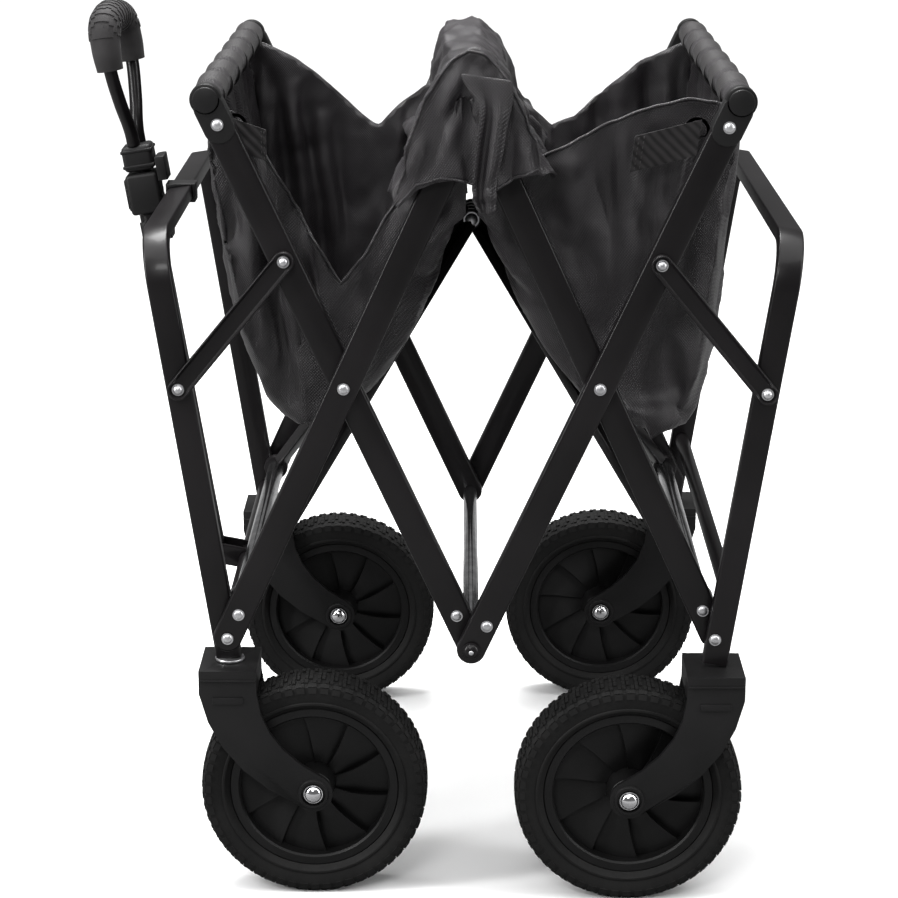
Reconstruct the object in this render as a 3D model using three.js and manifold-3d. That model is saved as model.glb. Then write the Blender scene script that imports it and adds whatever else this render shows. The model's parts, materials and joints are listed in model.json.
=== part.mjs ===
// A folding garden wagon with a pull handle, standing half folded.
//
// Two scissor pairs on each side share a cross tube at the bottom centre (the keel). The long arms
// are steel tubes in two layers that lie side by side. "Rail" arms climb from the keel to a top
// rail at each end, and "wheel" arms climb from a bottom corner to the top centre. An inverted U
// of bent tube stands on each bottom corner pair, carries the two wheel forks of its end, and is
// held by a strut to the rail arm. Four floor arms run from the bottom corners up to one hub.
// The front wheels swivel as casters. The pull handle turns on the front end frame, slides out
// of its outer tube, and clips to the front crossbar. The fabric basket hangs in the frame.
//
// Millimetres. +X runs to the rear, the handle end is at -X, the near side is at -Y, +Z is up.
// While it is built, the keel's axis is the line x = 0, z = 0. The last lines put the origin under
// the middle of the whole wagon, on the ground.

import * as THREE from "three";
import { mergeVertices } from "three/addons/utils/BufferGeometryUtils.js";
import Module from "manifold-3d";

const wasm = await Module();
wasm.setup();

// ---- driving dimensions ------------------------------------------------------------------

const REST_ANGLE = THREE.MathUtils.degToRad(24.75); // every long arm's lean from the vertical
const ARM_HALF = 258; // scissor pivot to keel, and scissor pivot to top centre
const WHEEL_ARM_LOWER = 246; // scissor pivot to bottom corner
const RAIL_ARM_UPPER = 266; // scissor pivot to the top rail's axis
const CROSS_TUBE_UP = 24; // corner pivot to the cross tube, along the wheel arm
const STRUT_UP = 118; // scissor pivot to the strut's pivot, along the rail arm
const FLOOR_ARM = 365; // cross tube to hub, seen from the side

const INNER_FACE = 225; // half the clear width between the inner arms
const TUBE_WIDE = 25; // the arms' tube, seen from the side
const TUBE_THICK = 12;
const TUBE_WALL = 1.5;
const LAYER_GAP = 1; // washer space between two layers
const GAP = 0.3; // running gap between neighbouring solids
const PIN_R = 4;
const PIN_HEAD_R = 6.5;
const PIN_HEAD = 2.6;
const KEEL_R = 7;
const KEEL_PIN_R = 5;
const RAIL_R = 11;
const RAIL_CAP_R = 14;
const RAIL_CAP_NECK = 24; // rail axis to the arm's cut end
const CROSS_TUBE_R = 8;

const END_LEAN = THREE.MathUtils.degToRad(8.6); // the end frames' outward lean
const END_OFFSET = 4; // corner pivot to the leg's centre line
const END_HEIGHT = 347; // corner pivot to the crossbar's centre
const END_TUBE_WIDE = 22;
const END_BEND_R = 42;
const LEG_BELOW = 23; // corner pivot down to the leg's foot
const STRUT_ON_LEG = 223; // corner pivot to the strut's lower pivot, up the leg
const LOWER_BAR_R = 7;
const FRONT_BAR_UP = -6; // corner pivot to the front lower bar, up the leg
const REAR_BAR_UP = 42; // the rear one passes above the wheel arms' ends

const STRUT_WIDE = 18;
const STRUT_THICK = 7;

const FLOOR_ARM_WIDE = 13;
const FLOOR_ARM_THICK = 10;
const FLOOR_ARM_INSET = 20; // floor arm's eye to the inner face
const HUB_PITCH = 19; // between two floor arms on the hub
const HUB_EYE_R = 9;
const HUB_BOLT_R = 6;

const WHEEL_R = 100;
const TYRE_WIDE = 45;
const RIM_R = 75;
const HUB_R = 17;
const HUB_WIDE = 46;
const WEB_THICK = 6;
const AXLE_R = 5;
const AXLE_CAP_R = 11;
const AXLE_CAP_DEEP = 7;
const TRAIL = 73; // corner pivot to the axle, inwards
const CROWN_CLEAR = 5.3; // tyre to the underside of the crown
const FORK_CLEAR = 3.5; // tyre to fork plate
const FORK_PLATE = 5;
const CROWN_LONG = 50;
const CROWN_HIGH = 21;
const FORK_BOSS_R = 17;
const KINGPIN_R = 6;
const KINGPIN_FLANGE_R = 13;
const KINGPIN_FLANGE = 2.4;

const HANDLE_LEAN = THREE.MathUtils.degToRad(9.1);
const HANDLE_OUT = 34; // corner pivot out to the handle's pivot
const HANDLE_TUBE_R = 10;
const HANDLE_BORE_R = 8;
const STEM_R = 7.6;
const OUTER_TUBE_LONG = 370;
const STEM_IN_TUBE = 265; // how far the stem reaches down into the outer tube
const CLAMP_LONG = 38;
const CLAMP_WIDE = 30;
const COLLAR_LONG = 24;
const COLLAR_GAP = 2;
const HANDLE_TWIST = THREE.MathUtils.degToRad(-10); // the grip's turn about the stem
const LOOP_TUBE_R = 6;
const LOOP_HALF = 33; // half the space between the two loop tubes, at the grip
const LOOP_HIGH = 118; // collar to the top of the loop
const GRIP_R = 14.5;
const GRIP_LEG = 46;
const YOKE_PLATE = 3;
const LEVER_THICK = 9;
const LEVER_LONG = 30;
const LEVER_HIGH = 22;
const LEVER_BELOW = 9; // how far the lever reaches below the clamp's top, over the crossbar
const CLIP_WALL = 4;
const CLIP_HIGH = 20;
const CLIP_DOWN = 16; // crossbar's underside to the clip's top

const CLOTH = 3;
const BASKET_INSET = 23; // side wall to the inner arm
const PEAK_HALF = 40;
const PEAK_SKIRT = 43; // top centre pivot down to the peak cloth's hem
const PEAK_RISE = 15.5; // top centre pivot up to the inside of the peak cloth
const PEAK_OVER = 8; // the peak cloth past the outer arm's face
const STRAP_WIDE = 25;
const STRAP_LONG = 100;

// ---- where the linkage's pivots lie, front end, as (x, z) ---------------------------------

const sin = Math.sin(REST_ANGLE);
const cos = Math.cos(REST_ANGLE);
const scissor = [-ARM_HALF * sin, ARM_HALF * cos];
const corner = [scissor[0] - WHEEL_ARM_LOWER * sin, scissor[1] - WHEEL_ARM_LOWER * cos];
const crossTube = [corner[0] + CROSS_TUBE_UP * sin, corner[1] + CROSS_TUBE_UP * cos];
const rail = [scissor[0] - RAIL_ARM_UPPER * sin, scissor[1] + RAIL_ARM_UPPER * cos];
const topCentre = [0, 2 * ARM_HALF * cos];
const strutTop = [scissor[0] - STRUT_UP * sin, scissor[1] + STRUT_UP * cos];
const hub = [0, crossTube[1] + Math.sqrt(FLOOR_ARM ** 2 - crossTube[0] ** 2)];
const legAt = (up) => [corner[0] - END_OFFSET - up * Math.tan(END_LEAN), corner[1] + up];
const strutFoot = legAt(STRUT_ON_LEG * Math.cos(END_LEAN));
const crownTop = corner[1] - LEG_BELOW - 2 * GAP - KINGPIN_FLANGE;
const tyreUnderCrown = Math.sqrt(WHEEL_R ** 2 - (TRAIL - CROWN_LONG / 2) ** 2);
const axle = [corner[0] + TRAIL, crownTop - CROWN_HIGH - CROWN_CLEAR - tyreUnderCrown];
const handlePivot = [corner[0] - HANDLE_OUT, corner[1]];

// Layers across the wagon, as distances from its middle plane.
const innerLayer = [INNER_FACE, INNER_FACE + TUBE_THICK];
const outerLayer = [innerLayer[1] + LAYER_GAP, innerLayer[1] + LAYER_GAP + TUBE_THICK];
const strutLayer = (from) => [from + LAYER_GAP, from + LAYER_GAP + STRUT_THICK];
const middle = (layer) => (layer[0] + layer[1]) / 2;

// ---- finishes ----------------------------------------------------------------------------

const finish = (color, roughness, metalness) => ({ color, roughness, metalness });
const BLACK_STEEL = finish(0x2a2829, 0.42, 0.6);
const BARE_STEEL = finish(0xb9b9bb, 0.3, 1);
const BLACK_PLASTIC = finish(0x1b1a1b, 0.55, 0);
const RUBBER = finish(0x151415, 0.9, 0);
const CLOTH_BLACK = finish(0x232123, 0.95, 0);
const GRIP_RUBBER = finish(0x39373a, 0.8, 0);

// ---- shape helpers -----------------------------------------------------------------------

const ROUND = 12; // sides of a small round piece
const WHEEL_SIDES = 28;

/** A closed three.js geometry as a solid that can be joined and cut. */
function solid(geometry) {
  geometry.deleteAttribute("normal");
  geometry.deleteAttribute("uv");
  const merged = mergeVertices(geometry, 1e-4);
  return new wasm.Manifold(new wasm.Mesh({
    numProp: 3,
    vertProperties: new Float32Array(merged.attributes.position.array),
    triVerts: new Uint32Array(merged.index.array),
  }));
}

/** A solid back as a three.js geometry. */
function geometryOf(body) {
  const { vertProperties, triVerts } = body.getMesh();
  const geometry = new THREE.BufferGeometry();
  geometry.setAttribute("position", new THREE.BufferAttribute(new Float32Array(vertProperties), 3));
  geometry.setIndex(new THREE.BufferAttribute(new Uint32Array(triVerts), 1));
  return geometry;
}

const unite = (...bodies) => bodies.reduce((a, b) => a.add(b));

/** A block between two corners. */
function block(low, high) {
  const size = high.map((v, i) => v - low[i]);
  const geometry = new THREE.BoxGeometry(...size);
  geometry.translate(...low.map((v, i) => v + size[i] / 2));
  return solid(geometry);
}

/** A flat outline in (x, z), given thickness from y0 to y1. */
function slab(shape, y0, y1, curveSegments = 4) {
  const geometry = new THREE.ExtrudeGeometry(shape, {
    depth: y1 - y0, bevelEnabled: false, curveSegments,
  });
  geometry.rotateX(Math.PI / 2);
  geometry.translate(0, y1, 0);
  return solid(geometry);
}

const polygon = (points) => new THREE.Shape(points.map(([x, z]) => new THREE.Vector2(x, z)));

/**
 * A solid of revolution about the line through (x, z) along Y. profile is [radius, y] points.
 * One flat of it faces straight down.
 */
function turned(profile, x, z, sides = ROUND) {
  const geometry = new THREE.LatheGeometry(
    profile.map(([r, y]) => new THREE.Vector2(r, y)), sides, Math.PI / sides);
  geometry.translate(x, 0, z);
  return solid(geometry);
}

/** A plain round bar or hole along Y. */
const rod = (r, y0, y1, x, z, sides) =>
  turned([[0, y0], [r, y0], [r, y1], [0, y1]], x, z, sides);

/** A round bar that has been turned to run along a direction from a point. */
function rodAlong(r, from, direction, long, sides = ROUND) {
  const geometry = new THREE.CylinderGeometry(r, r, long, sides);
  geometry.translate(0, long / 2, 0);
  const turn = new THREE.Quaternion().setFromUnitVectors(
    new THREE.Vector3(0, 1, 0), direction.clone().normalize());
  geometry.applyQuaternion(turn);
  geometry.translate(from.x, from.y, from.z);
  return solid(geometry);
}

const mirrorX = (body) => body.mirror([1, 0, 0]);
const mirrorY = (body) => body.mirror([0, 1, 0]);

const wagon = new THREE.Group();

/** Adds one named piece. Near pieces are modelled with y > 0 standing for "outwards". */
function add(name, body, material) {
  const mesh = new THREE.Mesh(geometryOf(body), new THREE.MeshStandardMaterial(material));
  mesh.name = name;
  wagon.add(mesh);
}

/** Adds a piece that was modelled on the far side (y > 0), and its mirror image on the near side. */
function addBothSides(name, body, material) {
  add(`${name}_far`, body, material);
  add(`${name}_near`, mirrorY(body), material);
}

// ---- the long arms -------------------------------------------------------------------------

/**
 * A flat tube with round ends from one pivot to another, both given as (x, z).
 * pins: [x, z, y0, y1] shanks fixed in the arm. heads: [x, z, y0, y1] rivet heads. holes: [x, z, r].
 */
function arm(from, to, layer, { pins = [], heads = [], holes = [], squareEnd = 0 }) {
  const long = Math.hypot(to[0] - from[0], to[1] - from[1]) - squareEnd;
  const half = TUBE_WIDE / 2;
  const outline = new THREE.Shape();
  outline.absarc(0, 0, half, Math.PI, 2 * Math.PI, false);
  if (squareEnd) {
    outline.lineTo(half, long);
    outline.lineTo(-half, long);
  } else {
    outline.absarc(0, long, half, 0, Math.PI, false);
  }
  outline.closePath();
  let body = slab(outline, layer[0], layer[1]);
  const hollow = half - TUBE_WALL;
  const drain = [-hollow / 2, hollow / 2];
  body = body.subtract(block(
    [-hollow, layer[0] + TUBE_WALL, TUBE_WIDE],
    [hollow, layer[1] - TUBE_WALL, long - TUBE_WIDE],
  ));
  body = body.subtract(block(
    [drain[0], layer[0] - 1, TUBE_WIDE + TUBE_WALL],
    [drain[1], layer[0] + 2 * TUBE_WALL, TUBE_WIDE + 3 * TUBE_WALL],
  ));
  const lean = Math.atan2(to[0] - from[0], to[1] - from[1]);
  body = body.rotate([0, THREE.MathUtils.radToDeg(lean), 0]).translate([from[0], 0, from[1]]);
  for (const [x, z, r] of holes) {
    body = body.subtract(rod(r, layer[0] - 1, layer[1] + 1, x, z));
  }
  for (const [x, z, y0, y1] of pins) {
    body = body.add(rod(PIN_R, y0, y1, x, z));
  }
  for (const [x, z, y0, y1] of heads) {
    body = body.add(rod(PIN_HEAD_R, y0, y1, x, z));
  }
  return body;
}

const hole = (point, r = PIN_R) => [point[0], point[1], r + GAP];
const shank = (point, y0, y1) => [point[0], point[1], y0, y1];
const outerHead = (point, y) => [point[0], point[1], y, y + PIN_HEAD];
const toRear = ([x, z]) => [-x, z];
const KEEL = [0, 0];
const capNeck = RAIL_CAP_NECK - GAP;

// Front: the rail arms lie inside, the wheel arms outside. Rear: the other way round.
addBothSides("front_rail_arm", arm(KEEL, rail, innerLayer, {
  squareEnd: RAIL_CAP_NECK,
  holes: [hole(KEEL, KEEL_PIN_R), hole(scissor), hole(strutTop)],
}), BLACK_STEEL);

addBothSides("front_wheel_arm", arm(corner, topCentre, outerLayer, {
  holes: [hole(topCentre), hole(crossTube)],
  pins: [
    shank(corner, innerLayer[0] + GAP, outerLayer[1]),
    shank(scissor, innerLayer[0] - PIN_HEAD, outerLayer[1]),
  ],
  heads: [outerHead(corner, outerLayer[1]), outerHead(scissor, outerLayer[1])],
}), BLACK_STEEL);

addBothSides("rear_rail_arm", arm(KEEL, toRear(rail), outerLayer, {
  squareEnd: RAIL_CAP_NECK,
  holes: [hole(KEEL, KEEL_PIN_R), hole(toRear(strutTop))],
  pins: [shank(toRear(scissor), innerLayer[0] - PIN_HEAD, outerLayer[1])],
  heads: [outerHead(toRear(scissor), outerLayer[1])],
}), BLACK_STEEL);

addBothSides("rear_wheel_arm", arm(toRear(corner), topCentre, innerLayer, {
  holes: [hole(topCentre), hole(toRear(crossTube)), hole(toRear(scissor))],
  pins: [shank(toRear(corner), innerLayer[0], outerLayer[1] + PIN_HEAD)],
  heads: [outerHead(toRear(corner), outerLayer[1] + GAP)],
}), BLACK_STEEL);

// ---- the tubes and bolts that join the two sides --------------------------------------------

/** Half a profile, from the middle plane outwards, turned into a whole bar across the wagon. */
function acrossBar(halfProfile, x, z) {
  const far = halfProfile.map(([r, y]) => [r, y]);
  const near = halfProfile.map(([r, y]) => [r, -y]).reverse();
  return turned([...near, ...far], x, z);
}

add("keel_tube", acrossBar([
  [KEEL_R, 0], [KEEL_R, INNER_FACE - GAP],
  [KEEL_PIN_R, INNER_FACE - GAP], [KEEL_PIN_R, outerLayer[1] + GAP],
  [PIN_HEAD_R + 3, outerLayer[1] + GAP], [PIN_HEAD_R + 3, outerLayer[1] + 2 * PIN_HEAD],
  [PIN_HEAD_R, outerLayer[1] + 3 * PIN_HEAD], [0, outerLayer[1] + 3 * PIN_HEAD],
], ...KEEL), BLACK_STEEL);

/** The tube that joins two wheel arms near the corners, with a bolt into each arm. */
const crossTubeBar = (x, z, layer) => acrossBar([
  [CROSS_TUBE_R, 0], [CROSS_TUBE_R, INNER_FACE - GAP],
  [PIN_R, INNER_FACE - GAP], [PIN_R, layer[1]], [0, layer[1]],
], x, z);
add("front_cross_tube", crossTubeBar(...crossTube, outerLayer), BLACK_STEEL);
add("rear_cross_tube", crossTubeBar(...toRear(crossTube), innerLayer), BLACK_STEEL);

/** A top rail: a round tube, open at both ends, through the caps on its two arms. */
function topRail(x, z, layer) {
  const half = layer[1] + GAP;
  const tube = rod(RAIL_R, -half, half, x, z);
  return tube.subtract(rod(RAIL_R - TUBE_WALL, -half - 1, half + 1, x, z));
}
add("front_top_rail", topRail(...rail, innerLayer), BLACK_STEEL);
add("rear_top_rail", topRail(...toRear(rail), outerLayer), BLACK_STEEL);

/** The moulded cap on an arm's upper end: the arm's own width, with a round seat for the rail. */
function railCap(layer, mirrored) {
  const half = TUBE_WIDE / 2;
  const outline = new THREE.Shape();
  outline.moveTo(-half, -capNeck);
  outline.lineTo(half, -capNeck);
  outline.lineTo(RAIL_CAP_R, 0);
  outline.absarc(0, 0, RAIL_CAP_R, 0, Math.PI, false);
  outline.closePath();
  const cap = slab(outline, layer[0], layer[1])
    .subtract(rod(RAIL_R + GAP, layer[0] - 1, layer[1] + 1, 0, 0))
    .rotate([0, -THREE.MathUtils.radToDeg(REST_ANGLE), 0])
    .translate([rail[0], 0, rail[1]]);
  return mirrored ? mirrorX(cap) : cap;
}
addBothSides("front_rail_cap", railCap(innerLayer, false), BLACK_PLASTIC);
addBothSides("rear_rail_cap", railCap(outerLayer, true), BLACK_PLASTIC);

/** The bolt at the top centre, through a wheel arm of each end. */
addBothSides("peak_bolt", turned([
  [0, innerLayer[0] - GAP - PIN_HEAD], [PIN_HEAD_R, innerLayer[0] - GAP - PIN_HEAD],
  [PIN_HEAD_R, innerLayer[0] - GAP], [PIN_R, innerLayer[0] - GAP], [PIN_R, outerLayer[1] + GAP],
  [PIN_HEAD_R, outerLayer[1] + GAP], [PIN_HEAD_R, outerLayer[1] + GAP + PIN_HEAD],
  [0, outerLayer[1] + GAP + PIN_HEAD],
], ...topCentre), BARE_STEEL);

// ---- the end frames ----------------------------------------------------------------------------

/** The inverted U of flat tube that stands on the two corners of one end, open at both feet. */
function endFrame(layer) {
  const y = middle(layer);
  const [footX, footZ] = legAt(-LEG_BELOW - TUBE_THICK); // trimmed level further down
  const [topX, topZ] = legAt(END_HEIGHT);
  const slope = new THREE.Vector3(topX - footX, 0, topZ - footZ).normalize();
  const at = (rise, across) =>
    new THREE.Vector3(topX, across, topZ).addScaledVector(slope, rise - END_BEND_R);
  const bendSteps = 6;
  const bend = [];
  for (let i = 0; i <= bendSteps; i += 1) {
    const turn = (i / bendSteps) * (Math.PI / 2);
    bend.push([END_BEND_R * Math.sin(turn), y - END_BEND_R * (1 - Math.cos(turn))]);
  }
  return sweep([
    new THREE.Vector3(footX, -y, footZ),
    ...bend.map(([rise, across]) => at(rise, -across)),
    ...bend.reverse().map(([rise, across]) => at(rise, across)),
    new THREE.Vector3(footX, y, footZ),
  ], slope);
}

/** A hollow flat tube swept along a line of points that lie in one leaning plane. */
function sweep(line, slope) {
  const wide = new THREE.Vector3(slope.z, 0, -slope.x); // normal to the bend's plane
  const section = (grow) => {
    const w = END_TUBE_WIDE / 2 - grow;
    const t = TUBE_THICK / 2 - grow;
    return [[w, t], [-w, t], [-w, -t], [w, -t]];
  };
  const skin = (grow, stretch) => {
    const rings = line.map((point, i) => {
      const before = line[Math.max(i - 1, 0)];
      const after = line[Math.min(i + 1, line.length - 1)];
      const tangent = after.clone().sub(before).normalize();
      const flat = new THREE.Vector3().crossVectors(tangent, wide).normalize();
      const first = i === 0 ? 1 : 0;
      const last = i === line.length - 1 ? 1 : 0;
      const centre = point.clone().addScaledVector(tangent, stretch * (last - first));
      return section(grow).map(([w, t]) =>
        centre.clone().addScaledVector(wide, w).addScaledVector(flat, t));
    });
    const positions = rings.flat().flatMap((v) => [v.x, v.y, v.z]);
    const index = [];
    const corner4 = 4;
    for (let i = 0; i + 1 < rings.length; i += 1) {
      for (let k = 0; k < corner4; k += 1) {
        const a = i * corner4 + k;
        const b = i * corner4 + ((k + 1) % corner4);
        index.push(a, b, a + corner4, b, b + corner4, a + corner4);
      }
    }
    const end = (rings.length - 1) * corner4;
    index.push(0, 2, 1, 0, 3, 2, end, end + 1, end + 2, end, end + 2, end + 3);
    const geometry = new THREE.BufferGeometry();
    geometry.setAttribute("position", new THREE.Float32BufferAttribute(positions, 3));
    geometry.setIndex(index);
    let body = solid(geometry);
    if (body.volume() < 0) {
      geometry.setIndex(index.reverse());
      body = solid(geometry);
    }
    return body;
  };
  return skin(0, 0).subtract(skin(TUBE_WALL, 1));
}

const bothLegs = (cutter) => cutter.add(mirrorY(cutter));

/** An end frame with its welded lower bar, drained, and the holes for the two corner pins. */
function frameWithBar(layer, barUp) {
  const [x, z] = legAt(barUp);
  const half = layer[0] + TUBE_WALL / 2;
  const inside = layer[0] - TUBE_WALL;
  const bar = rod(LOWER_BAR_R, -half, half, x, z);
  const space = rod(LOWER_BAR_R - TUBE_WALL, -inside, inside, x, z);
  const drain = block([x - TUBE_WALL, -TUBE_WALL, z - LOWER_BAR_R - 1], [x + TUBE_WALL, TUBE_WALL, z]);
  const pinHole = rod(PIN_R + GAP, layer[0] - 1, layer[1] + 1, ...corner);
  const below = block([x - 100, -2 * half, z - 200], [x + 100, 2 * half, corner[1] - LEG_BELOW]);
  return [space, drain, below, bothLegs(pinHole)]
    .reduce((frame, cut) => frame.subtract(cut), endFrame(layer).add(bar));
}
add("front_end_frame", frameWithBar(innerLayer, FRONT_BAR_UP), BLACK_STEEL);
add("rear_end_frame", mirrorX(frameWithBar(outerLayer, REAR_BAR_UP)), BLACK_STEEL);

// ---- struts from the rail arms to the end frames --------------------------------------------------

/** A flat strut with round ends. Its upper rivet runs into the arm, its lower one is a head only. */
function strut(armLayer) {
  const layer = strutLayer(armLayer[1]);
  const half = STRUT_WIDE / 2;
  const long = Math.hypot(strutTop[0] - strutFoot[0], strutTop[1] - strutFoot[1]);
  const outline = new THREE.Shape();
  outline.absarc(0, 0, half, Math.PI, 2 * Math.PI, false);
  outline.absarc(0, long, half, 0, Math.PI, false);
  outline.closePath();
  const lean = Math.atan2(strutTop[0] - strutFoot[0], strutTop[1] - strutFoot[1]);
  const bar = slab(outline, layer[0], layer[1])
    .rotate([0, THREE.MathUtils.radToDeg(lean), 0])
    .translate([strutFoot[0], 0, strutFoot[1]]);
  return unite(
    bar,
    rod(PIN_R, armLayer[0] - PIN_HEAD, layer[1], ...strutTop),
    rod(PIN_HEAD_R, layer[1], layer[1] + PIN_HEAD, ...strutTop),
    rod(PIN_HEAD_R, layer[1], layer[1] + PIN_HEAD, ...strutFoot),
  );
}
addBothSides("front_strut", strut(innerLayer), BLACK_STEEL);
addBothSides("rear_strut", mirrorX(strut(outerLayer)), BLACK_STEEL);

// ---- floor arms -----------------------------------------------------------------------------------

/** One floor arm, front end: an eye on the cross tube, a flat bar, and an eye on the hub's line. */
function floorArm(side, hubY, hasBolt) {
  const eyeY = side * (INNER_FACE - FLOOR_ARM_INSET);
  const halfThick = FLOOR_ARM_THICK / 2;
  const from = new THREE.Vector3(crossTube[0], eyeY, crossTube[1]);
  const to = new THREE.Vector3(hub[0], hubY, hub[1]);
  const along = to.clone().sub(from);
  const long = along.length();
  const direction = along.clone().normalize();
  const acrossDir = new THREE.Vector3().crossVectors(direction, new THREE.Vector3(0, 1, 0)).normalize();
  const thickDir = new THREE.Vector3().crossVectors(direction, acrossDir);
  const start = CROSS_TUBE_R + 2 * GAP;
  const bar = new THREE.BoxGeometry(FLOOR_ARM_WIDE, FLOOR_ARM_THICK, long - start);
  bar.translate(0, 0, start + (long - start) / 2);
  bar.applyMatrix4(new THREE.Matrix4().makeBasis(acrossDir, thickDir, direction).setPosition(from));
  const eye = (x, z, y, r) => rod(r, y - halfThick, y + halfThick, x, z);
  let body = unite(
    solid(bar),
    eye(...crossTube, eyeY, CROSS_TUBE_R + 4),
    eye(...hub, hubY, HUB_EYE_R),
  ).subtract(rod(CROSS_TUBE_R + GAP, eyeY - 3 * halfThick, eyeY + 3 * halfThick, ...crossTube));
  if (hasBolt) {
    const y0 = hubY + side * halfThick;
    const y1 = y0 + side * PIN_HEAD * 1.5;
    body = body.add(rod(HUB_BOLT_R, Math.min(y0, y1), Math.max(y0, y1), ...hub));
  }
  return body;
}
// Four layers on the hub's line, from the near side to the far side.
add("front_floor_arm_near", floorArm(-1, -1.5 * HUB_PITCH, true), BLACK_STEEL);
add("front_floor_arm_far", floorArm(1, 0.5 * HUB_PITCH, false), BLACK_STEEL);
add("rear_floor_arm_near", mirrorX(floorArm(-1, -0.5 * HUB_PITCH, false)), BLACK_STEEL);
add("rear_floor_arm_far", mirrorX(floorArm(1, 1.5 * HUB_PITCH, true)), BLACK_STEEL);

// ---- forks, wheels and axles ------------------------------------------------------------------------

const forkInside = TYRE_WIDE / 2 + FORK_CLEAR;
const forkOutside = forkInside + FORK_PLATE;

/** A moulded fork: a crown block and two swept plates down to the axle, about the plane y. */
function fork(y, swivels) {
  const [x] = corner;
  const low = crownTop - CROWN_HIGH;
  const half = CROWN_LONG / 2;
  const plate = new THREE.Shape();
  plate.moveTo(x - half, crownTop);
  plate.lineTo(x - half, low);
  plate.quadraticCurveTo(x - half * 0.5, axle[1] + FORK_BOSS_R * 1.4, axle[0] - FORK_BOSS_R * 0.75,
    axle[1] - FORK_BOSS_R * 0.65);
  plate.absarc(axle[0], axle[1], FORK_BOSS_R, Math.PI * 1.22, Math.PI * 2.3, false);
  plate.quadraticCurveTo(x + half * 1.1, axle[1] + FORK_BOSS_R * 2.6, x + half, low);
  plate.lineTo(x + half, crownTop);
  plate.closePath();
  let body = unite(
    block([x - half, y - forkOutside, low], [x + half, y + forkOutside, crownTop]),
    slab(plate, y - forkOutside, y - forkInside, 5),
    slab(plate, y + forkInside, y + forkOutside, 5),
  );
  body = body.subtract(rod(AXLE_R + GAP, y - forkOutside - 1, y + forkOutside + 1, ...axle));
  if (swivels) {
    const bore = rodAlong(KINGPIN_R + GAP, new THREE.Vector3(x, y, low - 1),
      new THREE.Vector3(0, 0, 1), CROWN_HIGH + 2);
    body = body.subtract(bore);
  }
  return body;
}

/** The swivel bolt of a caster, hung under a leg: a flange, a shank and a nut under the crown. */
function kingpin(y) {
  const up = new THREE.Vector3(0, 0, 1);
  const at = (z) => new THREE.Vector3(corner[0], y, z);
  const flangeLow = crownTop + GAP;
  const shankLow = crownTop - CROWN_HIGH - 2 * GAP;
  return unite(
    rodAlong(KINGPIN_FLANGE_R, at(flangeLow), up, KINGPIN_FLANGE),
    rodAlong(KINGPIN_R, at(shankLow), up, flangeLow - shankLow + GAP),
  );
}

/** A tyre with rounded shoulders. */
function tyre(y) {
  const half = TYRE_WIDE / 2;
  const r = RIM_R + GAP;
  const crown = WHEEL_R;
  const shoulder = WHEEL_R - 9;
  return turned([
    [r, y - half * 0.72], [shoulder, y - half], [crown - 3, y - half * 0.8], [crown, y - half * 0.5],
    [crown, y + half * 0.5], [crown - 3, y + half * 0.8], [shoulder, y + half], [r, y + half * 0.72],
    [r, y - half * 0.72],
  ], ...axle, WHEEL_SIDES);
}

/** A moulded rim: hub, thin web and the ring that the tyre sits on. */
function rim(y) {
  const hubHalf = HUB_WIDE / 2;
  const webHalf = WEB_THICK / 2;
  const ringHalf = TYRE_WIDE * 0.36;
  const bore = AXLE_R + GAP;
  const ring = RIM_R - 9;
  return turned([
    [bore, y - hubHalf], [HUB_R, y - hubHalf], [HUB_R, y - webHalf], [ring, y - webHalf],
    [ring, y - ringHalf], [RIM_R, y - ringHalf], [RIM_R, y + ringHalf], [ring, y + ringHalf],
    [ring, y + webHalf], [HUB_R, y + webHalf], [HUB_R, y + hubHalf], [bore, y + hubHalf],
    [bore, y - hubHalf],
  ], ...axle, WHEEL_SIDES);
}

/** The axle bolt, with a domed cap outside each fork plate. */
function axleBolt(y) {
  const face = forkOutside + GAP;
  const tip = face + AXLE_CAP_DEEP;
  return turned([
    [0, y - tip], [AXLE_CAP_R * 0.6, y - tip + 1.5], [AXLE_CAP_R, y - face], [AXLE_R, y - face],
    [AXLE_R, y + face], [AXLE_CAP_R, y + face], [AXLE_CAP_R * 0.6, y + tip - 1.5], [0, y + tip],
  ], ...axle);
}

for (const [end, layer, same] of [["front", innerLayer, (b) => b], ["rear", outerLayer, mirrorX]]) {
  const y = middle(layer);
  addBothSides(`${end}_fork`, same(fork(y, end === "front")), BLACK_PLASTIC);
  addBothSides(`${end}_tyre`, same(tyre(y)), RUBBER);
  addBothSides(`${end}_rim`, same(rim(y)), BLACK_PLASTIC);
  addBothSides(`${end}_axle`, same(axleBolt(y)), BARE_STEEL);
}
addBothSides("kingpin", kingpin(middle(innerLayer)), BARE_STEEL);

// ---- pull handle --------------------------------------------------------------------------------

// Its own frame: the pivot at the origin, +Z up the stem. It is turned and moved into place last.
const handleDegrees = -THREE.MathUtils.radToDeg(HANDLE_LEAN);
const inPlace = (body) =>
  body.rotate([0, handleDegrees, 0]).translate([handlePivot[0], 0, handlePivot[1]]);
const UP = new THREE.Vector3(0, 0, 1);
const onStem = (z) => new THREE.Vector3(0, 0, z);

const tubeTop = OUTER_TUBE_LONG;
const clampLow = tubeTop - CLAMP_LONG;
const tubeFoot = -HANDLE_TUBE_R;
const stemLow = tubeTop - STEM_IN_TUBE;
const collarLow = tubeTop + COLLAR_GAP;
const collarTop = collarLow + COLLAR_LONG;

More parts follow.
